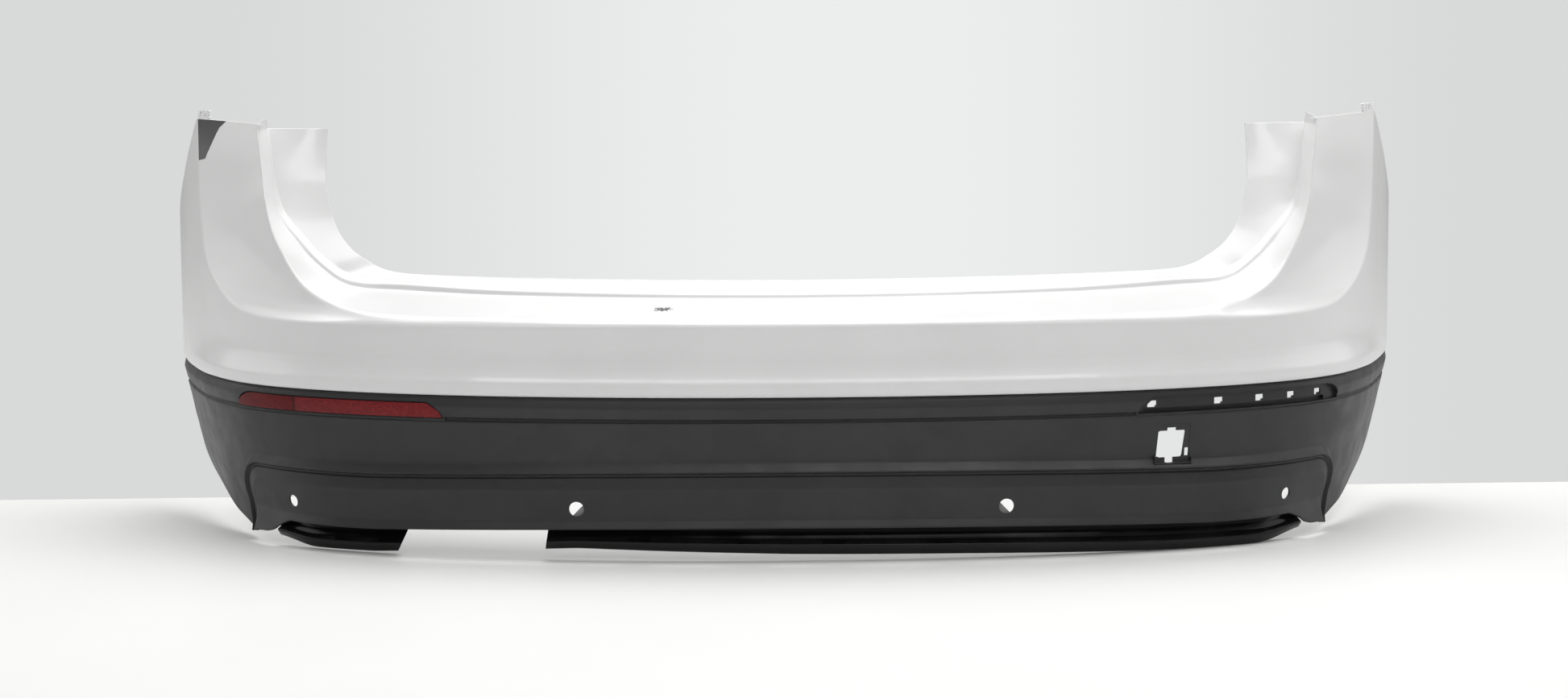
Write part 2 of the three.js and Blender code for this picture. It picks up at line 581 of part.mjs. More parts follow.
function trimSection(along) {
  const low = table(TRIM_BOTTOM, along);
  const high = TAB_LEVEL - GAP - dropAt(along, TAB_LEVEL);
  const tuck = 4 * smoothstep(Math.abs(along), 690, TRIM_END);
  const face = TRIM_ROWS.map(([share, inset]) => wallPoint(along, lerp(low, high, share), inset + tuck));
  const foot = wallPoint(along, low + TRIM_FOOT.rise, TRIM_FOOT.inset);
  return [foot, ...face];
}

function lowerTrim() {
  const left = TRIM_STATIONS.slice(1).reverse().map((s) => trimSection(-s));
  const right = TRIM_STATIONS.map((s) => trimSection(s));
  let body = shell([...left, ...right], TRIM_SKIN).subtract(exhaustMouth());
  for (const along of TRIM_SCREWS) {
    body = body.add(trimTab(along, TAB_LEVEL - GAP - TAB_T, 7, 24));
  }
  for (const along of TRIM_SCREWS) {
    body = body.subtract(screwHole(along));
  }
  return body;
}

// Body cut out of the trim for the exhaust; its ends slant.
function exhaustMouth() {
  const low = -20;
  const high = LIP_LEVEL + 0.6;
  const reach = new THREE.Vector3(0, 60, 0);
  const { inner, outer, innerSlant, outerSlant } = EXHAUST;
  return bar(spread(outer, inner, 60).map((s) => {
    const slant = lerp(innerSlant, outerSlant, (inner - s) / (inner - outer));
    const foot = lowerPoint(s - slant, low);
    const head = lowerPoint(s, high);
    return [
      foot.clone().sub(reach), head.clone().sub(reach),
      head.clone().add(reach), foot.clone().add(reach),
    ];
  }));
}

// ---------------------------------------------------------------- reflector
const HOUSING = { rim: 1.2, front: 3.6, bed: 6.4 }; // insets of its front edge and of its lens bed
const LENS = { front: 2.4, back: 5.9 };
const HOOK = { size: 9, thick: 6, barb: 1.4, barbRise: 3.4, reach: 3.7 };

function reflectorHousing() {
  let body = reflectorBlock(-1, -GAP, HOUSING.front, POCKET.depth - GAP);
  body = body.subtract(reflectorBlock(-1, -HOUSING.rim, -5, HOUSING.bed));
  for (const along of POCKET_HOLES) {
    const hook = new THREE.BoxGeometry(HOOK.size, HOOK.thick, HOOK.size);
    const barb = new THREE.BoxGeometry(HOOK.size, HOOK.barb, 2).translate(0, HOOK.barbRise, -HOOK.barbRise);
    for (const piece of [hook, barb]) {
      body = body.add(solid(placeOnWall(piece, -along, POCKET_HOLE.z, POCKET.depth + HOOK.reach)));
    }
  }
  return body;
}

function reflectorLens() {
  return reflectorBlock(-1, -HOUSING.rim - GAP, LENS.front, LENS.back);
}

// ---------------------------------------------------------------- small parts
// Low frame welded behind a sensor hole, with latch arms above and below that leave the hole clear.
function sensorHolder(along, z) {
  const { width, height, sheet, open, clear, back } = HOLDER;
  const arm = { width: 10, reach: 9, hook: 1.4 };
  const plate = new THREE.BoxGeometry(width, height, sheet).translate(0, 0, -sheet / 2);
  const opening = new THREE.BoxGeometry(open, clear, 20);
  let frame = solid(plate).subtract(solid(opening));
  if (Math.abs(along) < GUSSET.within) {
    frame = frame.add(holderGusset(Math.sign(along)));
  }
  for (const turn of [-1, 1]) {
    const at = turn * (clear / 2 + 1);
    const blade = new THREE.BoxGeometry(arm.width, 2, arm.reach).translate(0, at, -arm.reach / 2);
    const hook = new THREE.BoxGeometry(arm.width, 2 + arm.hook, 2);
    hook.translate(0, at + turn * arm.hook / 2, -arm.reach);
    frame = frame.add(solid(blade)).add(solid(hook));
  }
  return placeOnSkin(geometryOf(frame), along, z, SKIN + back);
}

// Triangular web across the holder's lower corner nearer the centre of the cover.
function holderGusset(side) {
  const { width, height, sheet } = HOLDER;
  const [x, y] = [-side * width / 2, -height / 2];
  const run = (width + height) / 2 - GUSSET.offset * Math.SQRT2;
  const corners = [[x, y], [x + side * run, y], [x, y + run]];
  const outline = new THREE.Shape(corners.map((corner) => new THREE.Vector2(...corner)));
  const web = new THREE.ExtrudeGeometry(outline, { depth: sheet, bevelEnabled: false });
  return solid(web.translate(0, 0, -sheet)).intersect(solid(new THREE.BoxGeometry(width, height, 20)));
}

// Spring clip that grips both joint flanges from inside.
const SEAM_CLIP = { reach: 9, width: 18, sheet: 1, clearance: 0.6, web: 1.8 };
function seamClip(along) {
  const { reach, width, sheet, clearance, web } = SEAM_CLIP;
  const low = -GAP - SKIN - clearance;
  const high = SKIN + clearance;
  const outline = [
    [0, high], [reach, high], [reach, low], [0, low],
    [0, low - sheet], [reach + sheet, low - sheet], [reach + sheet, high + sheet], [0, high + sheet],
  ];
  return placeOnWall(bentSheet(outline, width).rotateY(Math.PI / 2), along, SEAM_Z,
    3 + FLANGE_DEPTH - reach + web);
}

// Sheet with a bent outline, of a width.
function bentSheet(outline, width) {
  const profile = new THREE.Shape(outline.map(([x, y]) => new THREE.Vector2(x, y)));
  const sheet = new THREE.ExtrudeGeometry(profile, { depth: width, bevelEnabled: false });
  return sheet.translate(0, 0, -width / 2);
}

// Washer-head screw driven down through the lower cover's tab into the trim's tab.
const SCREW = { washer: 5.5, washerThick: 1.4, hex: 3.6, hexTall: 3.6, shank: 2, tip: 1.6, length: 12 };
function trimScrew(along) {
  const upright = (top, bottom, tall, sides, z) => {
    const round = new THREE.CylinderGeometry(top, bottom, tall, sides).rotateX(Math.PI / 2);
    return solid(round.translate(0, 0, z));
  };
  const head = upright(SCREW.washer, SCREW.washer, SCREW.washerThick, 16, 1);
  const hex = upright(SCREW.hex, SCREW.hex, SCREW.hexTall, 6, 3.4);
  const shank = upright(SCREW.shank, SCREW.tip, SCREW.length, 10, 1 - SCREW.length / 2);
  const at = screwPlace(along);
  return geometryOf(head.add(hex).add(shank)).translate(at.x, at.y, at.z);
}

// Sheet-metal nut clipped over the wheel arch flange, leaning with the arch's edge.
const ARCH_NUTS = [[150, 'low'], [190, 'mid'], [275, 'high'], [390, 'top']]; // height, name
const ARCH_NUT = { half: 2.2, deep: 12, sheet: 0.9, width: 14 };
const UPPER_ARCH = LOWER_EDGE.slice(9, 12).map(([along, z]) => [z, along]);
function archNut(side, z) {
  const upper = z > SEAM_Z;
  const edge = upper ? UPPER_ARCH : LOWER_ARCH;
  const along = table(edge, z);
  const skin = upper ? upperInset(along, z) : lowerInset(along, z);
  const lean = Math.atan((table(edge, z + 5) - table(edge, z - 5)) / 10);
  const { half, deep, sheet, width } = ARCH_NUT;
  const outline = [
    [-half, 0], [-half, deep], [half, deep], [half, 0],
    [half + sheet, 0], [half + sheet, deep + sheet], [-half - sheet, deep + sheet], [-half - sheet, 0],
  ];
  const clip = bentSheet(outline, width).rotateX(-Math.PI / 2).rotateZ(-side * lean);
  return placeOnWall(clip, side * (along - 1.4), z, skin + FLANGE_DEPTH - deep + 3);
}

// ---------------------------------------------------------------- build
addPiece('upper_cover', geometryOf(upperCover()), 'paint');
addPiece('lower_cover', geometryOf(lowerCover()), 'grained');
addPiece('lower_trim', geometryOf(lowerTrim()), 'gloss');
addPiece('reflector_housing_left', geometryOf(reflectorHousing()), 'moulded');
addPiece('reflector_lens_left', geometryOf(reflectorLens()), 'lens');
SENSORS.forEach(([along, z], n) => {
  addPiece(`sensor_holder_${SENSOR_NAMES[n]}`, sensorHolder(along, z), 'moulded');
});
SEAM_CLIPS.forEach((along, n) => addPiece(`seam_clip_${n + 1}`, seamClip(along), 'steel'));
TRIM_SCREWS.forEach((along, n) => addPiece(`trim_screw_${n + 1}`, trimScrew(along), 'steel'));
for (const [side, hand] of [[-1, 'left'], [1, 'right']]) {
  for (const [z, place] of ARCH_NUTS) {
    addPiece(`arch_nut_${hand}_${place}`, archNut(side, z), 'steel');
  }
}

// The part's origin is the middle of its footprint, at its lowest point.
const extent = new THREE.Box3().setFromObject(assembly);
const middle = extent.getCenter(new THREE.Vector3());
assembly.position.set(-middle.x, -middle.y, -extent.min.z);
const bumperCover = new THREE.Group();
bumperCover.add(assembly);

export default bumperCover;
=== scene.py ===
import math

import bmesh
import bpy
import numpy as np
from mathutils import Matrix, Vector


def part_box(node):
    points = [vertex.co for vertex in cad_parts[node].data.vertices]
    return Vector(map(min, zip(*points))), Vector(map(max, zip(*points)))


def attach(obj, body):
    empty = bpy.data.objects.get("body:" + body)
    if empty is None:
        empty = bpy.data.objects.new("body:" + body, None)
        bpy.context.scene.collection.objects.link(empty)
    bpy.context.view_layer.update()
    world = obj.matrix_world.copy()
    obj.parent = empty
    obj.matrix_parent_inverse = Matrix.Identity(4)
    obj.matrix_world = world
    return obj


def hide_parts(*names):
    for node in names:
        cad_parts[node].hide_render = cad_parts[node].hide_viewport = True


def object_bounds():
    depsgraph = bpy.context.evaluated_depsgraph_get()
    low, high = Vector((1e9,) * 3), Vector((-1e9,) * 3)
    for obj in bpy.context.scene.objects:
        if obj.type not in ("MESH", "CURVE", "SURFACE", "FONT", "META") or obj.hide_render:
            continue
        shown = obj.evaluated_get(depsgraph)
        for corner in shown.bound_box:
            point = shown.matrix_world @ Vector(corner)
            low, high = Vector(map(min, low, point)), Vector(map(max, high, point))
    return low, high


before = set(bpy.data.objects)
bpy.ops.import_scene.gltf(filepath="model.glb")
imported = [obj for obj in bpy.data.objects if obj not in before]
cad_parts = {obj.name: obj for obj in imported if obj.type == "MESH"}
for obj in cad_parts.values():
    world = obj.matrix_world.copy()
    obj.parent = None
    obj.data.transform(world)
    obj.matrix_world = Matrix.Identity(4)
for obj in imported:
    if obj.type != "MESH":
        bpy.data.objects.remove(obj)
cad_low, cad_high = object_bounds()

# ---- driving dimensions, in millimetres
SKIN = 3.0  # wall thickness of the moulded covers
TRIM_SKIN = 2.5
GAP = 0.4
SEAM_Z = 230.0  # joint between the upper and the lower cover
FLANGE_DEPTH = 17.0
LIP_LEVEL = 50.0
LEVEL_DROP = 10.0
# Parking sensor holes: place along the wall, height, diameter.
SENSORS = ((-732, 68, 17.5), (-298, 74.5, 21), (298, 74.5, 21), (732, 68, 17.5))
POCKET = {"near": 486, "round": 800, "far": 834, "bottom": 197, "top": 220.5, "depth": 10, "floor": 3}
POINT = {"lean": 2, "bow": 21, "length": 30}  # inner end of the reflector's outline
OUTER_END_ROUND = 0.94
POCKET_HOLES = (509, 612, 680, 737, 792)
POCKET_HOLE = {"width": 14, "height": 10, "z": 209}
CHANNEL = {"from": 496, "to": 806, "top": 203.5, "depth": 15}
TOW = {"left": 517, "right": 557, "bottom": 133, "top": 171}
TOW_SHAPE = ((-20.7, -1), (18.2, -1), (22, 1), (-18.5, 1))  # corners: place from its middle, low or high
TOW_ROUND = 3.0
TOW_SEAT = {"left": 513.5, "right": 566.5, "low": 141.8, "high": 183, "depth": 0.8}
TOW_SLOT = {"bottom": 126.5, "top": 133.5, "depth": 12, "floor": 3}
TOW_SLOT_CUT = 30  # length of the tool that cuts the slots
TOW_BACKING = (4, 4, 10)  # how much wider and taller than the slots their backing is, and its depth
# Notches of the towing eye opening: width, height, shift along, shift up.
TOW_NOTCHES = ((13.4, 8, 1.3, 19.3), (12.7, 12, -1.2, -20.7), (6, 11.5, 25.2, -12.2))
EXHAUST = {"inner": -338, "outer": -538.5, "inner_slant": 6, "outer_slant": 27}
MOUTH_REACH = np.array([0.0, 60.0, 0.0])  # how far the exhaust mouth's cut goes to the front and to the back
MOUTH_FOOT = -20  # level below the trim where the cut starts
MOUTH_HEAD = 0.6  # how far above the lower cover's lip it ends
TRIM_SCREWS = (-660, -590, -215, -60, 60, 215, 430, 660)
TAB_LEVEL = 58.0  # tabs inside the lower cover that carry the trim
TAB_T = 2.6
TAB_HALF = 16  # half the width of a tab
SCREW_INSET = 14.0  # trim screws, inwards of the lower skin
SCREW_HOLE = {"radius": 2.6, "length": 16, "below": 3}
RIM = 1.2  # reflector housing's rim round the lens

PLAN_HALF = [
    (0, 0), (190, 7), (400, 34), (560, 75), (690, 132),
    (780, 203), (838, 295), (875, 395), (903, 500), (920, 600),
]
LOWER_EDGE = [
    (0, 230), (190, 230), (400, 230), (560, 230), (650, 230), (745, 230), (850, 230), (960, 230),
    (1085, 231), (1195, 234), (1211, 330), (1212, 432), (1150, 470), (1087, 508), (1030, 556), (985, 594),
]
CREASE = [
    (0, 330), (190, 330), (400, 328), (552, 327), (624, 327), (712, 327), (800, 332), (847, 341),
    (891, 358), (931, 383), (955, 412), (966, 452), (972, 500), (974, 540), (975, 572), (975, 598),
]
SHOULDER = [
    (0, 14, 334), (190, 21, 334), (400, 48, 335), (545, 90, 337), (600, 113, 341), (640, 142, 349),
    (676, 166, 366), (698, 182, 388), (717, 196, 420), (729, 204, 444), (736, 210, 468), (741, 216, 494),
    (744, 222, 520), (747, 227, 550), (750, 232, 576), (752, 236, 595),
]
RISER_FOOT = [
    (0, 100, 356), (190, 107, 357), (402, 139, 359), (547, 191, 362), (605, 208, 364), (638, 227, 371),
    (664, 240, 388), (686, 250, 407), (705, 259, 429), (720, 268, 447), (731, 277, 466), (736, 287, 493),
    (739, 296, 520), (743, 305, 550), (747, 314, 578), (750, 322, 598),
]
RISER_TOP = [
    (0, 103, 362), (190, 110, 363), (402, 142, 366), (547, 194, 370), (605, 212, 371), (635, 230, 377),
    (660.5, 242, 393), (682, 252, 411.5), (700.5, 261, 432.5), (716, 270, 449.5), (728, 279, 468),
    (734.5, 290, 494), (739, 299, 520), (743, 308.5, 549), (747, 318, 576), (750, 326, 598),
]
LEDGE_EDGE = [
    (0, 138, 375), (190, 145, 376), (403, 172, 378), (548, 215, 378), (603, 232, 379), (632, 247, 382.5),
    (655.5, 253, 397.5), (676.5, 261.5, 416), (695, 270, 436), (711, 278, 452.5), (724.5, 287, 470),
    (733, 297, 494), (738, 305, 519), (743, 313.5, 546), (747, 322, 568), (750, 330, 583),
]
FLANGE_EDGE = [
    (0, 141, 378), (190, 148, 379), (403, 175, 381), (530, 218, 382), (575, 240, 387), (603, 257, 399),
    (624, 271, 412), (641, 283, 431), (651, 291, 449), (657, 297, 466), (662, 303, 486), (665, 309, 505),
    (665, 314, 523), (665, 319, 545), (664, 323, 565), (663, 326, 582),
]

# The outer wall touches y = 0 at the centre and the seam is at SEAM_Z:
# that places millimetres in the frame.
upper_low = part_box("upper_cover")[0]
SHIFT = np.array([0.0, upper_low.y, upper_low.z - SEAM_Z / 1000])


# ---- curves and tables
def table(pairs, at):
    xs, ys = zip(*pairs)
    return np.interp(at, xs, ys)


BLUR = ((-1, 0.15), (-0.5, 0.2), (0, 0.3), (0.5, 0.2), (1, 0.15))  # shift as a share of the reach, weight


def rounded(pairs, at, reach):
    """Value of a table with its corners rounded over reach on both sides."""
    at = np.asarray(at, float)
    return sum(weight * table(pairs, at + shift * reach) for shift, weight in BLUR)


def smoothstep(x, low, high):
    t = np.clip((np.asarray(x, float) - low) / (high - low), 0, 1)
    return t * t * (3 - 2 * t)


def spline(points, at):
    """Smooth curve through matched points; at is a point number with a fraction."""
    points = np.asarray(points, float)
    last = len(points) - 1
    k = np.clip(np.floor(at).astype(int), 0, last - 1)
    t = (np.asarray(at, float) - k)[:, None]
    a, b, c, d = (points[np.clip(k + n, 0, last)] for n in (-1, 0, 1, 2))
    square = (2 * a - 5 * b + 4 * c - d) * t**2
    cube = (3 * b - a - 3 * c + d) * t**3
    return 0.5 * (2 * b + (c - a) * t + square + cube)


def straight(points, at):
    points = np.asarray(points, float)
    numbers = np.arange(len(points))
    return np.stack([np.interp(at, numbers, points[:, axis]) for axis in range(points.shape[1])], -1)


def unit(v):
    return v / np.maximum(np.linalg.norm(v, axis=-1, keepdims=True), 1e-9)


UP = np.array([0.0, 0.0, 1.0])


def steps(start, stop, step):
    """Evenly spread places from start up to, not including, stop."""
    return np.linspace(start, stop, max(1, math.ceil((stop - start) / step)), endpoint=False)


# ---- the outer wall
PLAN = [(-x, y) for x, y in PLAN_HALF[:0:-1]] + PLAN_HALF
PLAN_SAMPLES = 9001
PLAN_XY = spline(PLAN, np.linspace(0, len(PLAN) - 1, PLAN_SAMPLES))
PLAN_ARC = np.concatenate([[0], np.cumsum(np.linalg.norm(np.diff(PLAN_XY, axis=0), axis=1))])
PLAN_ARC -= PLAN_ARC[-1] / 2
PLAN_DIRECTION = unit(np.gradient(PLAN_XY, axis=0))


def plan(values, along):
    return np.stack([np.interp(along, PLAN_ARC, values[:, axis]) for axis in (0, 1)], -1)


def wall(along, z, inset):
    """Point at a distance along the wall from the centre, at a height, moved inwards by inset."""
    along, z, inset = np.broadcast_arrays(*(np.asarray(v, float) for v in (along, z, inset)))
    p = plan(PLAN_XY, along)
    t = unit(plan(PLAN_DIRECTION, along))
    return np.stack([p[..., 0] - t[..., 1] * inset, p[..., 1] + t[..., 0] * inset, z], -1)


# Insets of the painted wall by height.
UPPER_PROFILE = [
    (230, 2.5), (235, 0.4), (246, 0), (249, 0.2), (257, 3), (266, 5.4), (277, 7.2), (289, 8), (600, 8),
]
UPPER_REACH = 1.6  # how far its corners are rounded
WING_START, WING_END = 850, 1100  # the profile flattens out between these places


def upper_inset(along, z):
    """Inset of the painted wall; its profile flattens out on the wings."""
    flat = smoothstep(np.abs(along), WING_START, WING_END)
    return rounded(UPPER_PROFILE, z, UPPER_REACH) * (1 - flat)


DROP_WIDTH = 600  # the drop reaches its full depth this far from the centre
DROP_TOP, DROP_HEIGHT = 200, 60  # level where the drop starts, and over how many levels it grows


def drop_at(along, level):
    """How far a level of the lower cover hangs lower than at the centre."""
    share = np.minimum(np.abs(along) / DROP_WIDTH, 1) ** 2
    return LEVEL_DROP * share * np.clip((DROP_TOP - np.asarray(level, float)) / DROP_HEIGHT, 0, 1)


GROOVE_HALF, GROOVE_LEVEL, GROOVE_RADIUS = 855, 122, 50


def inside_groove(along, level):
    """Signed distance to the U-shaped groove round the sensor band, positive inside it."""
    dx = np.abs(along) - (GROOVE_HALF - GROOVE_RADIUS)
    dz = level - (GROOVE_LEVEL - GROOVE_RADIUS)
    both = (dx > 0) & (dz > 0)
    return GROOVE_RADIUS - np.where(both, np.hypot(dx, dz), np.maximum(dx, dz))


# Insets of the lower skin by level: over its whole width, towards the corners, and by the distance
# inside the groove.
LOWER_PROFILE = [
    (0, 16), (140, 12), (194, 4.5), (196, 8), (197.5, 8), (200, 4), (215, 1), (224, 3), (226, 4),
    (229.6, 7.5),
]
TUCK_PROFILE = [(10, 26), (30, 30), (65, 26), (104, 15), (133, 9), (151, 6), (173, 4), (195, 1), (217, 0)]
GROOVE_PROFILE = [
    (-17, 0), (-6, -10), (-4, -9.6), (-2.6, -3.6), (0.6, -3.6), (2.2, -6.2), (18, -9.6), (22, -9.2),
    (60, -8.6),
]
LOWER_REACH, TUCK_REACH, GROOVE_REACH = 1.2, 6, 0.9
TUCK_START, TUCK_END = 650, 850
LIP = {"top": 61, "slope": 0.4, "start": 14, "end": 26}  # the bottom edge curls out inside the groove


def lower_inset(along, level):
    tuck = rounded(TUCK_PROFILE, level, TUCK_REACH) * smoothstep(np.abs(along), TUCK_START, TUCK_END)
    inside = inside_groove(along, level)
    curl = smoothstep(inside, LIP["start"], LIP["end"])
    lip = LIP["slope"] * np.maximum(LIP["top"] - level, 0) * curl
    groove = rounded(GROOVE_PROFILE, inside, GROOVE_REACH)
    return rounded(LOWER_PROFILE, level, LOWER_REACH) + tuck + groove - lip


def lower(along, level, extra=0.0):
    """Point of the lower cover's skin at a level, which is the height it has at the centre."""
    along, level = np.broadcast_arrays(np.asarray(along, float), np.asarray(level, float))
    return wall(along, level - drop_at(along, level), lower_inset(along, level) + extra)


# ---- meshes
def add(name, data):
    obj = bpy.data.objects.new(name, data)
    bpy.context.scene.collection.objects.link(obj)
    return obj


def new_object(name, points, faces, materials, indices):
    """Object in the row frame from points in millimetres."""
    mesh = bpy.data.meshes.new(name)
    placed = np.asarray(points, float).reshape(-1, 3) / 1000 + SHIFT
    mesh.from_pydata(placed.tolist(), [], [tuple(int(v) for v in face) for face in faces])
    for material in materials:
        mesh.materials.append(material)
    mesh.polygons.foreach_set("material_index", np.asarray(indices, np.int32))
    mesh.validate()
    return add(name, mesh)


MITRE_LIMIT = 0.7
RIM_BULGE = 0.3  # roundness of a skin's rim, as a share of its thickness


def offset_grid(grid, distance):
    """The grid [column][row] moved inwards by distance, corners mitred."""
    run = unit(np.diff(grid, axis=0))
    run = unit(np.concatenate([run[:1], run]) + np.concatenate([run, run[-1:]]))
    rise = unit(np.diff(grid, axis=1))
    first = unit(np.cross(run, np.concatenate([rise[:, :1], rise], axis=1)))
    second = unit(np.cross(run, np.concatenate([rise, rise[:, -1:]], axis=1)))
    normal = unit(first + second)
    mitre = 1 / np.maximum(np.sum(normal * first, axis=-1, keepdims=True), MITRE_LIMIT)
    return grid - normal * distance * mitre


def round_rows(grid, corners, count):
    """Replaces each corner row by a curve between its neighbouring rows."""
    rows = []
    for j in range(grid.shape[1]):
        if j not in corners:
            rows.append(grid[:, j])
            continue
        before, corner, after = grid[:, j - 1], grid[:, j], grid[:, j + 1]
        for t in np.linspace(0, 1, count + 2)[1:-1]:
            rows.append((1 - t) ** 2 * before + 2 * t * (1 - t) * corner + t * t * after)
    return np.stack(rows, 1)


def closed_shell(name, grid, corners, thickness, materials, count=5):
    """Closed skin: the outer grid, its inner offset and a rounded rim all round. The inner side
    takes the second material."""
    outer = round_rows(grid, corners, count)
    inner = round_rows(offset_grid(grid, thickness), corners, count)
    ni, nj = outer.shape[:2]
    number = np.arange(ni * nj).reshape(ni, nj)
    a, b, c, d = number[:-1, :-1], number[1:, :-1], number[1:, 1:], number[:-1, 1:]
    front = np.stack([a, b, c, d], -1).reshape(-1, 4)
    back = np.stack([a, d, c, b], -1).reshape(-1, 4) + ni * nj
    loop = [(i, 0) for i in range(ni)] + [(ni - 1, j) for j in range(1, nj)]
    loop += [(i, nj - 1) for i in range(ni - 2, -1, -1)] + [(0, j) for j in range(nj - 2, 0, -1)]
    li, lj = np.array(loop).T
    inward_i = np.clip(li, 1, ni - 2)
    inward_j = np.clip(lj, 1, nj - 2)
    away = unit(outer[li, lj] - outer[inward_i, inward_j])
    middle = (outer[li, lj] + inner[li, lj]) / 2
    reach = (outer[li, lj] - inner[li, lj]) / 2
    bulge = RIM_BULGE * thickness
    rings = [
        middle + reach * math.cos(turn) + away * bulge * math.sin(turn)
        for turn in (math.pi / 4, math.pi / 2, 3 * math.pi / 4)
    ]
    start = 2 * ni * nj
    m = len(loop)
    ladders = [number[li, lj]] + [start + k * m + np.arange(m) for k in range(3)] + [number[li, lj] + ni * nj]
    rim = []
    for low, high in zip(ladders[:-1], ladders[1:]):
        rim.append(np.stack([low, high, np.roll(high, -1), np.roll(low, -1)], -1))
    faces = np.concatenate([front, back, *rim])
    indices = np.concatenate([np.zeros(len(front)), np.ones(len(back)), np.zeros(4 * m)])
    points = np.concatenate([outer.reshape(-1, 3), inner.reshape(-1, 3), *rings])
    return new_object(name, points, faces, materials, indices)


def loft(name, sections, materials, index=0):
    """Closed body through rings of equal length, capped at both ends."""
    sections = np.asarray(sections, float)
    n, m = sections.shape[:2]
    number = np.arange(n * m).reshape(n, m)
    turned = np.roll(number, -1, axis=1)
    sides = np.stack([number[:-1], number[1:], turned[1:], turned[:-1]], -1).reshape(-1, 4)
    faces = [*sides, number[0], number[-1][::-1]]
    obj = new_object(name, sections, faces, materials, np.full(len(faces), index))
    outwards(obj)
    return obj


def outwards(obj):
    bm = bmesh.new()
    bm.from_mesh(obj.data)
    bmesh.ops.recalc_face_normals(bm, faces=bm.faces)
    bm.to_mesh(obj.data)
    bm.free()


def block(name, size, matrix, materials, index=0, bevel=0.6):
    """Box with rounded edges, in millimetres, placed by a matrix from local to model millimetres."""
    bm = bmesh.new()
    bmesh.ops.create_cube(bm, size=1.0, matrix=Matrix.Diagonal((*size, 1.0)))
    if bevel:
        bmesh.ops.bevel(bm, geom=bm.edges[:], offset=bevel, segments=3, affect="EDGES", profile=0.5)
    return from_bmesh(name, bm, matrix, materials, index)


def rounded_outline(corners, radius, count=5):
    """Closed outline through corners, each rounded off over radius."""
    corners = np.asarray(corners, float)
    outline = []
    for before, corner, after in zip(np.roll(corners, 1, 0), corners, np.roll(corners, -1, 0)):
        start = corner + unit(before - corner) * radius
        end = corner + unit(after - corner) * radius
        for t in np.linspace(0, 1, count):
            outline.append((1 - t) ** 2 * start + 2 * t * (1 - t) * corner + t * t * end)
    return outline


def rectangle(width, height):
    x, y = width / 2, height / 2
    return [(-x, -y), (x, -y), (x, y), (-x, y)]


def prism(name, outline, length, matrix, materials):
    """Straight body with an outline in local x and y, centred on the local origin."""
    sections = [[matrix @ Vector((x, y, z)) for x, y in outline] for z in (-length / 2, length / 2)]
    return loft(name, sections, materials)


def drum(name, radius, length, matrix, materials, index=0, sides=48):
    bm = bmesh.new()
    bmesh.ops.create_cone(bm, cap_ends=True, segments=sides, radius1=radius, radius2=radius, depth=length)
    return from_bmesh(name, bm, matrix, materials, index)


def from_bmesh(name, bm, matrix, materials, index):
    points = [matrix @ v.co for v in bm.verts]
    bm.verts.index_update()
    faces = [[v.index for v in face.verts] for face in bm.faces]
    bm.free()
    obj = new_object(name, points, faces, materials, np.full(len(faces), index))
    outwards(obj)
    return obj


def axes(place, right, up, out):
    """Matrix that puts local x, y and z along three directions, with the origin at a place."""
    return Matrix.Translation(place.tolist()) @ Matrix((right, up, out)).transposed().to_4x4()


def at_wall(along, z, inset, local=(0, 0, 0)):
    """Matrix that puts local x along the wall, y up and z outwards."""
    x, y = unit(plan(PLAN_DIRECTION, float(along)))
    return axes(wall(along, z, inset), (x, y, 0), UP, (y, -x, 0)) @ Matrix.Translation(local)


def at_skin(along, z):
    """The same for the lower cover's own sloping skin."""
    level = z + float(drop_at(along, z))
    reach = 12
    across = unit(lower(along + reach, level) - lower(along - reach, level))
    rise = unit(lower(along, level + reach) - lower(along, level - reach))
    out = unit(np.cross(across, rise))
    return axes(lower(along, level), across, np.cross(out, across), out)


def join(name, objects):
    bm = bmesh.new()
    for obj in objects:
        bm.from_mesh(obj.data)
    merged = objects[0].data.copy()
    merged.name = name
    bm.to_mesh(merged)
    bm.free()
    for obj in objects:
        bpy.data.objects.remove(obj)
    return add(name, merged)


def combine(obj, others, operation):
    """Adds or cuts bodies that don't touch one another."""
    tool = join(obj.name + "_tool", others) if len(others) > 1 else others[0]
    modifier = obj.modifiers.new("combine", "BOOLEAN")
    modifier.operation = operation
    modifier.solver = "MANIFOLD"
    modifier.object = tool
    bpy.context.view_layer.update()
    evaluated = obj.evaluated_get(bpy.context.evaluated_depsgraph_get())
    mesh = bpy.data.meshes.new_from_object(evaluated)
    obj.modifiers.clear()
    obj.data = mesh
    bpy.data.objects.remove(tool)
    return obj


CREASE_ANGLE = 32  # edges sharper than this many degrees stay crisp


def finish_piece(obj, node, angle=CREASE_ANGLE):
    """Smooth shading with crisp edges, and the piece takes the place of its CAD node."""
    mesh = obj.data
    mesh.polygons.foreach_set("use_smooth", np.ones(len(mesh.polygons), bool))
    mesh.set_sharp_from_angle(angle=math.radians(angle))
    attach(obj, "root")
    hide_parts(node)


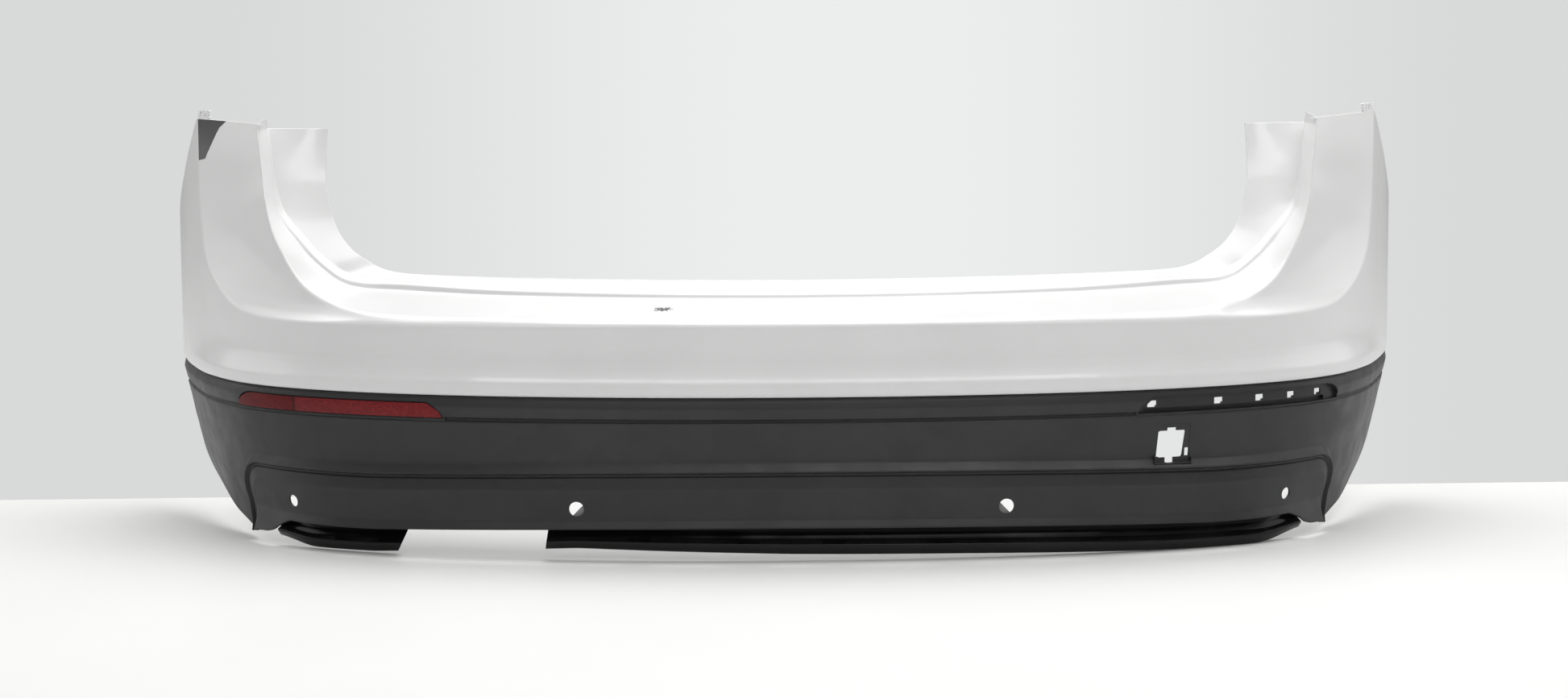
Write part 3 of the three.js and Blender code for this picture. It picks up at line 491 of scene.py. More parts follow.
# ---- materials
class Look:
    """A node material under construction."""

    def __init__(self, name):
        self.material = bpy.data.materials.new(name)
        self.material.use_nodes = True
        self.tree = self.material.node_tree
        self.shader = self.tree.nodes["Principled BSDF"]
        self.place = self.node("ShaderNodeTexCoord").outputs["Object"]

    def node(self, kind, **settings):
        made = self.tree.nodes.new(kind)
        for key, value in settings.items():
            setattr(made, key, value)
        return made

    def put(self, socket, value):
        if isinstance(value, bpy.types.NodeSocket):
            self.tree.links.new(value, socket)
        else:
            socket.default_value = value

    def set(self, **values):
        self.fill(self.shader, **values)

    def fill(self, made, **values):
        """Sets or links a node's inputs by name."""
        for key, value in values.items():
            self.put(made.inputs[key.replace("_", " ")], value)
        return made.outputs

    def noise(self, scale, detail, rough=0.5, where=None):
        made = self.node("ShaderNodeTexNoise")
        sockets = self.fill(made, Vector=where or self.place, Scale=scale, Detail=detail, Roughness=rough)
        return sockets["Fac"]

    def cells(self, scale, feature="F1", output="Distance"):
        made = self.node("ShaderNodeTexVoronoi", feature=feature)
        return self.fill(made, Vector=self.place, Scale=scale)[output]

    def stretch(self, scale):
        return self.fill(self.node("ShaderNodeMapping"), Vector=self.place, Scale=scale)["Vector"]

    def split(self, vector=None):
        return self.fill(self.node("ShaderNodeSeparateXYZ"), Vector=vector or self.place)

    def fit(self, value, low, high, to_low=0.0, to_high=1.0):
        made = self.node("ShaderNodeMapRange", interpolation_type="SMOOTHSTEP")
        for socket, number in zip(made.inputs, (value, low, high, to_low, to_high)):
            self.put(socket, number)
        return made.outputs["Result"]

    def math(self, operation, *values):
        made = self.node("ShaderNodeMath", operation=operation)
        for socket, value in zip(made.inputs, values):
            self.put(socket, value)
        return made.outputs[0]

    def minus(self, a, b):
        return self.math("SUBTRACT", a, b)

    def plus(self, a, b):
        return self.math("ADD", a, b)

    def times(self, a, b):
        return self.math("MULTIPLY", a, b)

    def rough(self, scale, detail, low, high):
        """Roughness that varies between two values."""
        self.set(Roughness=self.fit(self.noise(scale, detail), 0.3, 0.7, low, high))

    def mix(self, share, a, b):
        made = self.node("ShaderNodeMix", data_type="RGBA")
        self.put(made.inputs["Factor"], share)
        colours = [socket for socket in made.inputs if socket.type == "RGBA"]
        for socket, colour in zip(colours, (a, b)):
            self.put(socket, colour)
        return next(socket for socket in made.outputs if socket.type == "RGBA")

    def bump(self, height, strength, distance, normal=None):
        made = self.node("ShaderNodeBump")
        if normal is not None:
            self.put(made.inputs["Normal"], normal)
        return self.fill(made, Height=height, Strength=strength, Distance=distance)["Normal"]

    def soft_edge(self, radius):
        return self.fill(self.node("ShaderNodeBevel", samples=4), Radius=radius)["Normal"]


def grey(value, tint=0.0):
    return (value, value, value * (1 + tint), 1.0)


def horn_corner(side):
    """Outer top corner of the horn, where the crease ends."""
    along, z = CREASE[-1]
    return wall(side * along, z, upper_inset(along, z))


# Bare patch at the outer top corner of the left horn, in metres. It ends where either line is passed:
# reach inwards at the top of the horn, and how much less for every metre further down.
horn_crease = horn_corner(-1) / 1000 + SHIFT
PATCH_LINES = ((0.051, 1.3), (0.043, 0.55))
PATCH_HEIGHT = 0.06
PATCH_MARGIN = (0.0003, 0.0009)  # the paint's edge at the crease
PATCH_RIM = (0.0004, 0.0009)  # the paint's edge at the horn's top
PATCH_BEHIND = (0.12, 0.1)  # nothing further forward than this is bare
HORN_TOP_SLOPE = 0.013
CHIP = Vector((-0.176, 0.066 + SHIFT[1], 0.346 + SHIFT[2]))
CHIP_EDGE = (0.006, 0.0068)
CHIP_STRETCH = 0.6


def white_paint():
    look = Look("white_paint")
    x, y, z = look.split()[:3]
    ragged = look.fit(look.noise(45, 2), 0.3, 0.7, -0.0007, 0.0007)
    inwards = look.minus(x, float(horn_crease[0]))
    below = look.minus(float(horn_crease[2]), z)
    reaches = [look.minus(width, look.times(below, slope)) for width, slope in PATCH_LINES]
    inside = look.minus(look.math("MAXIMUM", *reaches), look.plus(inwards, ragged))
    mask = look.fit(inside, 0.0, 0.0007)
    foot = look.plus(look.plus(below, ragged), look.times(inwards, 0.3))
    from_top = look.minus(below, look.times(inwards, HORN_TOP_SLOPE))
    for value, *limits in (
        (foot, PATCH_HEIGHT, PATCH_HEIGHT + 0.001, 1, 0),
        (inwards, *PATCH_MARGIN),
        (from_top, *PATCH_RIM),
        (y, *(float(horn_crease[1]) - reach for reach in PATCH_BEHIND)),
    ):
        mask = look.times(mask, look.fit(value, *limits))
    chip = look.node("ShaderNodeVectorMath", operation="DISTANCE")
    look.put(chip.inputs[0], look.stretch((CHIP_STRETCH, 1, 1)))
    chip.inputs[1].default_value = Vector((CHIP.x * CHIP_STRETCH, CHIP.y, CHIP.z))
    jagged = look.fit(look.noise(260, 3), 0.3, 0.7, -0.003, 0.003)
    near_chip = look.plus(chip.outputs["Value"], jagged)
    mask = look.math("MAXIMUM", mask, look.fit(near_chip, *CHIP_EDGE, 1, 0))
    dust = look.fit(look.noise(7, 5), 0.35, 0.75)
    paint = look.mix(dust, (0.80, 0.805, 0.80, 1), (0.775, 0.78, 0.775, 1))
    depth = look.fit(below, 0.0, 0.055)
    dark = look.mix(depth, grey(0.05), grey(0.1))
    light = look.mix(depth, grey(0.08), grey(0.14))
    bare = look.mix(look.noise(55, 5), dark, light)
    look.set(Base_Color=look.mix(mask, paint, bare))
    worn = look.fit(look.noise(24, 4), 0.3, 0.75, 0.28, 0.36)
    look.set(Roughness=look.fit(mask, 0, 1, worn, 0.6))
    look.set(Coat_Weight=look.fit(mask, 0, 1, 0.6, 0.0))
    look.set(Coat_Roughness=look.fit(dust, 0, 1, 0.09, 0.15))
    peel = look.bump(look.noise(300, 2), 0.025, 0.0004)
    look.set(Normal=look.bump(look.minus(1.0, mask), 0.5, 0.0002, peel), Coat_Normal=peel)
    return look.material


def raw_plastic(name, value):
    look = Look(name)
    cloud = look.fit(look.noise(9, 5), 0.3, 0.7)
    look.set(Base_Color=look.mix(cloud, grey(value), grey(value * 1.5)))
    look.rough(40, 4, 0.5, 0.68)
    look.set(Normal=look.bump(look.noise(900, 3), 0.12, 0.0003))
    return look.material


def grained_plastic():
    look = Look("grained_plastic")
    pits = look.cells(1100, "SMOOTH_F1")
    fine = look.noise(2400, 2)
    grain = look.plus(pits, look.times(fine, 0.5))
    dust = look.fit(look.noise(5, 6), 0.42, 0.8)
    scuff = look.fit(look.noise(1, 6, 0.65, look.stretch((14, 14, 160))), 0.62, 0.78)
    colour = look.mix(dust, grey(0.0215, 0.05), grey(0.032, 0.03))
    colour = look.mix(look.times(scuff, 0.35), colour, grey(0.07))
    look.set(Base_Color=look.mix(look.fit(pits, 0.1, 0.6, 0.0, 0.35), colour, grey(0.012)))
    look.rough(30, 4, 0.42, 0.52)
    look.set(Specular_IOR_Level=0.5)
    look.set(Normal=look.bump(grain, 0.35, 0.00025, look.soft_edge(0.0006)))
    return look.material


def gloss_plastic():
    look = Look("gloss_plastic")
    smudge = look.fit(look.noise(16, 5), 0.4, 0.75)
    look.set(Base_Color=look.mix(smudge, grey(0.0045), grey(0.008)))
    look.set(Roughness=look.fit(smudge, 0, 1, 0.14, 0.26), Specular_IOR_Level=0.3)
    scratch = look.noise(1, 5, 0.6, look.stretch((20, 20, 900)))
    look.set(Normal=look.bump(scratch, 0.05, 0.0002, look.soft_edge(0.0006)))
    return look.material


def holder_plastic(name, value):
    look = Look(name)
    look.set(Base_Color=look.mix(look.noise(60, 4), grey(value * 0.6), grey(value * 1.4)))
    look.rough(90, 3, 0.42, 0.58)
    look.set(Normal=look.bump(look.noise(1500, 2), 0.1, 0.0002, look.soft_edge(0.0004)))
    return look.material


# Where the reflector's two prism fields meet, and how their tones fade, in metres.
DIVIDER = -0.699
DIVIDER_EDGE = 0.0006
DIVIDER_LINE = {"shift": 0.002, "dark": 0.0012, "clear": 0.0028}
FADE = 0.16


def reflector_red():
    look = Look("reflector_red")
    x = look.split()[0]
    cell = look.cells(420)
    shade = look.split(look.cells(420, "F1", "Color"))[0]
    inner_field = look.fit(x, DIVIDER - DIVIDER_EDGE, DIVIDER + DIVIDER_EDGE)
    fade = look.fit(x, DIVIDER, DIVIDER + FADE)
    deep = look.mix(shade, (0.08, 0.004, 0.005, 1), (0.15, 0.007, 0.008, 1))
    frosted = look.mix(shade, (0.13, 0.013, 0.015, 1), (0.20, 0.022, 0.025, 1))
    clear = look.mix(shade, (0.15, 0.012, 0.014, 1), (0.23, 0.020, 0.022, 1))
    colour = look.mix(inner_field, deep, look.mix(fade, frosted, clear))
    off_line = look.math("ABSOLUTE", look.minus(x, DIVIDER + DIVIDER_LINE["shift"]))
    line = look.fit(off_line, DIVIDER_LINE["dark"], DIVIDER_LINE["clear"], 1, 0)
    look.set(Base_Color=look.mix(line, colour, (0.05, 0.004, 0.005, 1)))
    look.set(Roughness=look.fit(cell, 0, 1, 0.34, 0.42), Specular_IOR_Level=0.15)
    look.set(Coat_Weight=0.12, Coat_Roughness=look.fit(look.noise(30, 4), 0.3, 0.7, 0.12, 0.22))
    look.set(Normal=look.bump(cell, 0.4, 0.001))
    return look.material


def steel(name, value, roughness):
    look = Look(name)
    blotch = look.noise(240, 5)
    look.set(Base_Color=look.mix(blotch, grey(value * 0.6), grey(value, 0.03)), Metallic=0.9)
    look.set(Roughness=look.fit(blotch, 0.3, 0.7, roughness, roughness + 0.2))
    look.set(Normal=look.bump(look.noise(1800, 3), 0.1, 0.0002))
    return look.material


PAINT = white_paint()
RAW = raw_plastic("raw_plastic", 0.05)
GRAINED = grained_plastic()
GRAINED_INSIDE = raw_plastic("grained_inside", 0.016)
GLOSS = gloss_plastic()
GLOSS_INSIDE = raw_plastic("gloss_inside", 0.012)
HOLDER = holder_plastic("holder_plastic", 0.02)
GREY_HOLDER = holder_plastic("grey_holder_plastic", 0.3)
LENS = reflector_red()
SPRING_STEEL = steel("spring_steel", 0.36, 0.32)
SCREW_STEEL = steel("screw_steel", 0.5, 0.28)


# ---- upper cover
HORN = len(LOWER_EDGE) - 1
STATION_STEPS = 12
WALL_COUNT, SILL_COUNT = 38, 12
# How much each corner is cut back for its rounding; those of the crease and the shoulder are given
# at the centre and on the horn.
EDGE_CUT = 3.3
CREASE_CUTS = (6.5, 3.5)
SHOULDER_CUTS = (7, 3)
FOOT_CUT = 2.6
LEDGE_CUT = 2.2
HORN_START, HORN_FULL = 8, 14  # control points between which the sill turns into the horn
HOLLOW_START, HOLLOW_FULL = 3.5, 6
HOLLOW = 7  # depth of the scoop below the horn


def shares(a, b, cut_a, cut_b, count):
    """Shares of the way from a to b for count rows that leave room for rounded corners."""
    length = np.maximum(np.linalg.norm(b - a, axis=-1), 1e-6)
    first = np.minimum(cut_a / length, 0.4)
    last = 1 - np.minimum(cut_b / length, 0.4)
    return [(first + (last - first) * t)[:, None] for t in np.linspace(0, 1, count)]


def upper_half():
    """Right half of the upper cover: stations from the centre to the horn's top, and rows from
    the seam flange to the inner flange."""
    at = np.linspace(0, HORN, HORN * STATION_STEPS + 1)
    edge = straight(LOWER_EDGE, at)
    crease = spline(CREASE, at)
    lines = [spline(line, at) for line in (SHOULDER, RISER_FOOT, RISER_TOP, LEDGE_EDGE, FLANGE_EDGE)]
    on_horn = smoothstep(at, HORN_START, HORN_FULL)
    crease_cut, shoulder_cut = (a + (b - a) * on_horn for a, b in (CREASE_CUTS, SHOULDER_CUTS))

    def on_wall(place, extra=0.0):
        return wall(place[:, 0], place[:, 1], upper_inset(place[:, 0], place[:, 1]) + extra)

    rows = [on_wall(edge, FLANGE_DEPTH), on_wall(edge, FLANGE_DEPTH / 2), on_wall(edge, EDGE_CUT)]
    corners = [len(rows)]
    rows.append(on_wall(edge))
    for share in shares(edge, crease, EDGE_CUT, crease_cut, WALL_COUNT):
        rows.append(on_wall(edge + (crease - edge) * share))
    corners.append(len(rows))
    top = on_wall(crease)
    rows.append(top)
    hollow = HOLLOW * smoothstep(at, HOLLOW_START, HOLLOW_FULL) * (1 - on_horn)
    for share in shares(top, lines[0], crease_cut, shoulder_cut, SILL_COUNT):
        sag = (hollow[:, None] * 4 * share * (1 - share))[:, 0]
        rows.append(top + (lines[0] - top) * share + np.stack([0 * sag, sag, -sag], -1))
    cuts = [shoulder_cut, FOOT_CUT, FOOT_CUT, LEDGE_CUT, 0.0]
    for k, count in enumerate((12, 2, 6, 7)):
        corners.append(len(rows))
        rows.append(lines[k])
        for share in shares(lines[k], lines[k + 1], cuts[k], cuts[k + 1], count):
            rows.append(lines[k] + (lines[k + 1] - lines[k]) * share)
    return np.stack(rows, 1), corners


def both_sides(half):
    mirror = half[:0:-1] * np.array([-1, 1, 1])
    return np.concatenate([mirror, half])


HORN_TAB = {"margin": 1, "size": (26, 20, 3), "z": 2.7}
TAB_TOOTH = {"size": (3, 2.4, 5), "first": 1, "pitch": 3.6}
TAB_RIB = {"size": (1.4, 8, 1.6), "first": -4.5, "pitch": 5.5, "rise": 5.0, "proud": 0.2}
TAB_EYE = {"radius": 2.2, "length": 14, "shift": 2, "rise": 4.5, "sides": 24}
HORN_RETURN = 14  # depths of the folds along the tops of the horn and of the inner flange
FLANGE_RETURN = 9
RETURN_SHEET = 2.6
RETURN_LAP = (0.3, 0.1)  # how far a fold reaches out of the skin and above its edge


def horn_tab(side):
    """Ribbed fixing tab on the horn's top edge, next to the crease."""
    corner = horn_corner(side)
    right = (np.array(SHOULDER[-1]) * (side, 1, 1) - corner) * (1, 1, 0)
    right = unit(right) * -side
    basis = axes(corner, right, UP, np.cross(right, UP))
    margin, z = HORN_TAB["margin"], HORN_TAB["z"]
    width, height, sheet = HORN_TAB["size"]
    middle = -side * (margin + width / 2)
    looks = [PAINT, RAW]
    place = basis @ Matrix.Translation((middle, z, -sheet / 2))
    plate = block("tab", (width, height, sheet), place, looks, 0, 0.7)
    teeth = []
    for n in range(3):
        up_edge = z + TAB_TOOTH["first"] + n * TAB_TOOTH["pitch"]
        place = Matrix.Translation((-side * (margin + width), up_edge, -sheet / 2))
        teeth.append(block("tooth", TAB_TOOTH["size"], basis @ place, looks, 0, 0.5))
    for n in range(3):
        shift = side * (TAB_RIB["first"] + n * TAB_RIB["pitch"])
        place = Matrix.Translation((middle + shift, z + TAB_RIB["rise"], TAB_RIB["proud"]))
        teeth.append(block("rib", TAB_RIB["size"], basis @ place, looks, 0, 0.4))
    combine(plate, teeth, "UNION")
    place = basis @ Matrix.Translation((middle + side * TAB_EYE["shift"], z + TAB_EYE["rise"], 0))
    eye = drum("eye", TAB_EYE["radius"], TAB_EYE["length"], place, looks, 0, TAB_EYE["sides"])
    return combine(plate, [eye], "DIFFERENCE")


def top_return(side, near, far, depth, looks):
    """Stiffening fold along a top edge, from its end nearer the centre to its outer end."""
    near, far = (np.array(end, float) * (side, 1, 1) for end in (near, far))
    inwards = unit(np.cross(UP, far - near)) * side
    start, rise = RETURN_LAP
    corners = ((start, -RETURN_SHEET), (start, rise), (depth, rise), (depth, -RETURN_SHEET))
    sections = []
    for share in np.linspace(0, 1, 8):
        place = near + (far - near) * share
        sections.append([place + inwards * deep + UP * high for deep, high in corners])
    return loft("return", sections, looks)


# Flat pads where the cover bears on the car; the one under the sill and those behind the flanges are
# turned by these angles, in radians.
FLANGE_PAD = {"size": (44, 8, 44), "at": (704, 321.1, 543.9), "lean": 0.29, "yaw": 0.077}
SILL_PAD = {"size": (60, 24, 7), "at": (0, 122.2, 363.8), "slope": 0.356}
GUIDE_PAD = {"size": (60, 34, 7), "at": (1090, 455, 6)}


def upper_pads(looks):
    """The pads: behind each inner flange, inside each wing and under the sill."""
    pads = []
    x, y, z = FLANGE_PAD["at"]
    along, height, inset = GUIDE_PAD["at"]
    for side in (-1, 1):
        yaw = Matrix.Rotation(-side * FLANGE_PAD["yaw"], 4, "Z")
        lean = Matrix.Rotation(-FLANGE_PAD["lean"], 4, "X")
        pads.append((FLANGE_PAD["size"], Matrix.Translation((side * x, y, z)) @ yaw @ lean))
        pads.append((GUIDE_PAD["size"], at_wall(side * along, height, inset)))
    slope = Matrix.Rotation(SILL_PAD["slope"], 4, "X")
    pads.append((SILL_PAD["size"], Matrix.Translation(SILL_PAD["at"]) @ slope))
    return [block("pad", size, place, looks, 1, 1.0) for size, place in pads]


def upper_cover():
    half, corners = upper_half()
    looks = [PAINT, RAW]
    cover = closed_shell("upper_cover_skin", both_sides(half), corners, SKIN, looks)
    returns = []
    for side in (-1, 1):
        returns.append(top_return(side, SHOULDER[-1], horn_corner(1), HORN_RETURN, looks))
        returns.append(top_return(side, FLANGE_EDGE[-1], LEDGE_EDGE[-1], FLANGE_RETURN, looks))
    combine(cover, returns, "UNION")
    combine(cover, [horn_tab(-1), horn_tab(1)] + upper_pads(looks), "UNION")
    finish_piece(cover, "upper_cover")


# ---- lower cover
ARCH_START = 1110
LOWER_END = 1166
LOWER_EDGE_LEVELS = [
    (0, 50), (740, 50), (762, 42), (774, 34), (792, 30), (830, 28), (857, 20), (950, 40), (1166, 98),
]
LOWER_ARCH = [(100, 1166), (133, 1172), (173, 1175), (210, 1182), (225, 1191)]  # level, place along
# Grid of the lower skin: start, end and step of each stretch along the wall and of each band of levels.
LOWER_STATIONS = ((0, 700, 12), (700, 785, 4), (785, 872, 1.5), (872, ARCH_START, 8))
LOWER_ROWS = (
    (LIP_LEVEL, 72, 1.6), (72, 116, 1.4), (116, 130, 0.6), (130, 140, 1.4), (140, 190, 5), (190, 203, 0.6),
    (203, 224, 2.0),
)
LOWER_TOP = (224, 229.6)  # the last band, just under the seam
EVEN_LEVEL = 140  # rows above this level are level; those below spread down to the bottom edge
SEAM_INSET = 3  # inset of the wall where the seam flange starts


def lower_half():
    """Right half of the lower cover: stations from the centre to the wheel arch, and rows from the
    bottom edge to the seam flange."""
    wing = np.linspace(ARCH_START, LOWER_END, 9)
    station = np.concatenate([steps(*part) for part in LOWER_STATIONS] + [wing])
    row = np.concatenate([steps(*part) for part in LOWER_ROWS] + [np.linspace(*LOWER_TOP, 6)])
    foot = rounded(LOWER_EDGE_LEVELS, station, 5)[:, None]
    share = np.clip((station - ARCH_START) / (LOWER_END - ARCH_START), 0, 1)[:, None]
    remapped = foot + (EVEN_LEVEL - foot) * (row[None] - LIP_LEVEL) / (EVEN_LEVEL - LIP_LEVEL)
    level = np.where(row[None] < EVEN_LEVEL, remapped, row[None])
    along = np.minimum(station, ARCH_START)[:, None] * (1 - share) + (table(LOWER_ARCH, level) + 1) * share
    skin = lower(along, level)
    top_along, top = along[:, -1], row[-1]
    inset = lower_inset(top_along, top)
    deepest = SEAM_INSET + FLANGE_DEPTH
    depths = [inset + EDGE_CUT, inset + (deepest - inset) / 2, np.full_like(inset, deepest)]
    flange = np.stack([wall(top_along, top, depth) for depth in depths], 1)
    return np.concatenate([skin, flange], 1), [skin.shape[1] - 1]


def ring(low, high, outer, inner, radius):
    """Section as (height, inset) pairs: a box with rounded outer corners."""
    turns = np.linspace(0, math.pi / 2, 5)
    bend = [(radius * (1 - math.sin(t)), outer + radius * (1 - math.cos(t))) for t in turns]
    pairs = [(low, inner)] + [(low + rise, inset) for rise, inset in bend[::-1]]
    return pairs + [(high - rise, inset) for rise, inset in bend] + [(high, inner)]


def reflector_block(name, side, margin, outer, inner, materials, index=0, radius=0.3):
    """Block with the outline of the reflector: pointed inner end that curves up to the top edge,
    rounded outer end. The outline grows by margin; outer and inner are insets."""
    near, far = POCKET["near"] - margin, POCKET["far"] + margin
    tall = POCKET["top"] - POCKET["bottom"] + 2 * margin
    low = POCKET["bottom"] - margin
    outline = [(near + POINT["bow"] * t * t + POINT["lean"] * t, t) for t in np.linspace(0.05, 1, 16)]
    outline += [(place, 1.0) for place in steps(POCKET["near"] + POINT["length"], POCKET["round"], 6)]
    for past in np.sin(np.linspace(0, math.pi / 2, 14)):
        place = POCKET["round"] + (far - POCKET["round"]) * past
        outline.append((place, math.sqrt(1 - (OUTER_END_ROUND * past) ** 2)))
    sections = []
    for place, share in outline:
        high = low + tall * share
        pairs = ring(low, high, outer, inner, min(radius, 0.4 * (high - low)))
        sections.append([wall(side * place, z, inset) for z, inset in pairs])
    return loft(name, sections, materials, index)


STRIP_STEP = 8


def strip(surface, name, start, end, low, high, outer, inner, materials, index=0):
    """Block that follows the outermost wall, or the lower skin with heights as levels, between two
    places, two heights and two insets."""
    places = np.linspace(start, end, max(3, int(abs(end - start) / STRIP_STEP)))
    corners = ((low, outer), (high, outer), (high, inner), (low, inner))
    return loft(name, [[surface(s, z, inset) for z, inset in corners] for s in places], materials, index)


ARCH_SHEET = 2.6


def arch_flange(side, materials):
    """Flange along the wheel arch, that the liner is screwed to."""
    sections = []
    corners = ((0, 1), (-ARCH_SHEET, 1), (-ARCH_SHEET, FLANGE_DEPTH), (0, FLANGE_DEPTH))
    for level in np.linspace(LOWER_ARCH[0][0], LOWER_ARCH[-1][0], 26):
        along = float(table(LOWER_ARCH, level))
        sections.append([lower(side * (along + shift), level, deep) for shift, deep in corners])
    return loft("arch_flange", sections, materials, 0)


def screw_hole(along, materials):
    """Hole through the tabs of the lower cover and of the trim."""
    x, y, z = lower(along, TAB_LEVEL, SCREW_INSET)
    place = Matrix.Translation((x, y, z + TAB_T - SCREW_HOLE["below"]))
    return drum("hole", SCREW_HOLE["radius"], SCREW_HOLE["length"], place, materials, 1, 24)


HOLE_CORNER = 1.3
HOLE_CUT_OFF = (6, 5)  # how much of the innermost hole's top inner corner is missing: along, up
CUT_LENGTH, SENSOR_CUT, CLIP_CUT = 60, 40, 20  # tools that cut through the towing seat, skin and pocket floor


def pocket_hole(side, along, looks):
    """Clip hole in the pocket's floor; the innermost one has its top inner corner cut off."""
    corners = rectangle(POCKET_HOLE["width"], POCKET_HOLE["height"])
    if along == POCKET_HOLES[0]:
        x, y = corners.pop()
        corners += [(x + HOLE_CUT_OFF[0], y), (x, y - HOLE_CUT_OFF[1])]
    outline = rounded_outline(corners, HOLE_CORNER)
    if side < 0:
        outline = [(-x, y) for x, y in outline]
    place = at_wall(side * along, POCKET_HOLE["z"], POCKET["depth"] + 4)
    return prism("hole", outline, CLIP_CUT, place, looks)


def reflector_pockets(cover, looks):
    """Sunken seats of the reflectors, each with a deep channel along its lower edge."""
    low, floor, depth = POCKET["bottom"], POCKET["floor"], POCKET["depth"]
    ends = [(side * CHANNEL["from"], side * CHANNEL["to"], side) for side in (-1, 1)]
    seats = [reflector_block("seat", side, floor, 5, depth + floor, looks, 1) for side in (-1, 1)]
    combine(cover, seats, "UNION")
    top, back = CHANNEL["top"], CHANNEL["depth"]
    backings = []
    for a, b, side in ends:
        box = (a - side * floor, b + side * floor, low - floor, top + floor, depth, back + floor)
        backings.append(strip(wall, "backing", *box, looks, 1))
    combine(cover, backings, "UNION")
    mouths = [reflector_block("mouth", side, 0, -12, depth, looks) for side in (-1, 1)]
    combine(cover, mouths, "DIFFERENCE")
    channels = [strip(wall, "channel", a, b, low, top, depth - floor, back, looks) for a, b, side in ends]
    combine(cover, channels, "DIFFERENCE")
    holes = [pocket_hole(side, along, looks) for side in (-1, 1) for along in POCKET_HOLES]
    combine(cover, holes, "DIFFERENCE")


def tow_opening(cover, looks):
    """Opening for the towing eye: the seat of its missing cap, lug slots and notches."""
    middle = (TOW["left"] + TOW["right"]) / 2
    height = (TOW["bottom"] + TOW["top"]) / 2
    left, right = TOW_SEAT["left"], TOW_SEAT["right"]
    seat_middle = (left + right) / 2
    slot_z = (TOW_SLOT["bottom"] + TOW_SLOT["top"]) / 2
    slot_tall = TOW_SLOT["top"] - TOW_SLOT["bottom"]
    wide, tall, deep = TOW_BACKING
    back = TOW_SLOT["depth"] + TOW_SLOT["floor"] - deep / 2
    size = (right - left + wide, slot_tall + tall, deep)
    backing = block("backing", size, at_wall(seat_middle, slot_z, back), looks, 1, 0.5)
    combine(cover, [backing], "UNION")
    front = TOW_SLOT["depth"] - TOW_SLOT_CUT / 2
    size = (right - left, slot_tall, TOW_SLOT_CUT)
    slot = block("slot", size, at_wall(seat_middle, slot_z, front), looks, 0, 0.5)
    combine(cover, [slot], "DIFFERENCE")
    seat = strip(lower, "seat", left, right, TOW_SEAT["low"], TOW_SEAT["high"], -5, TOW_SEAT["depth"], looks)
    combine(cover, [seat], "DIFFERENCE")
    rise = (TOW["top"] - TOW["bottom"]) / 2
    outline = rounded_outline([(x, end * rise) for x, end in TOW_SHAPE], TOW_ROUND, 7)
    opening = prism("tow", outline, CUT_LENGTH, at_wall(middle, height, 5), looks)
    combine(cover, [opening], "DIFFERENCE")
    for wide, tall, shift, up in TOW_NOTCHES:
        outline = rounded_outline(rectangle(wide, tall), 1.0)
        notch = prism("tow", outline, CUT_LENGTH, at_wall(middle, height, 5, (shift, up, 0)), looks)
        combine(cover, [notch], "DIFFERENCE")


def screw_tabs(level, outer, inner, looks):
    """The tabs of a cover that the trim's screws go through, between two insets."""
    return [
        strip(lower, "tab", s - TAB_HALF, s + TAB_HALF, level, level + TAB_T, outer, inner, looks, 1)
        for s in TRIM_SCREWS
    ]


def lower_cover():
    looks = [GRAINED, GRAINED_INSIDE]
    half, corners = lower_half()
    cover = closed_shell("lower_cover_skin", both_sides(half), corners, SKIN, looks)
    added = screw_tabs(TAB_LEVEL, 1.5, 23, looks) + [arch_flange(side, looks) for side in (-1, 1)]
    combine(cover, added, "UNION")
    reflector_pockets(cover, looks)
    cut = [screw_hole(along, looks) for along in TRIM_SCREWS]
    for along, z, diameter in SENSORS:
        cut.append(drum("hole", diameter / 2, SENSOR_CUT, at_skin(along, z), looks, 0, 64))
    combine(cover, cut, "DIFFERENCE")
    tow_opening(cover, looks)
    finish_piece(cover, "lower_cover", 40)


# ---- lower trim
TRIM_BOTTOM = [
    (-765, 15), (-735, 10), (-705, 4), (-680, 3.5), (-600, 3.8), (-546, 7), (-300, 17.5), (-190, 14.5),
    (0, 10), (150, 8.5), (250, 7), (530, 1), (680, 0), (705, 2), (735, 9), (765, 15),
]
TRIM_ROWS = [(0, 17), (0.24, 11), (0.31, 10.5), (0.43, 17), (0.65, 22), (1, 24)]  # share of height, inset
TRIM_CUTS = (0, 3.4, 1.4, 1.4, 2.5, 3, 0)  # how much each corner row is cut back for its rounding
TRIM_RETURN = (3, 32)  # rise and inset of the fold under the bottom edge
TRIM_BEND, TRIM_END = 680, 765  # the trim curves in between these places
TRIM_TUCK = {"start": 690, "depth": 4}


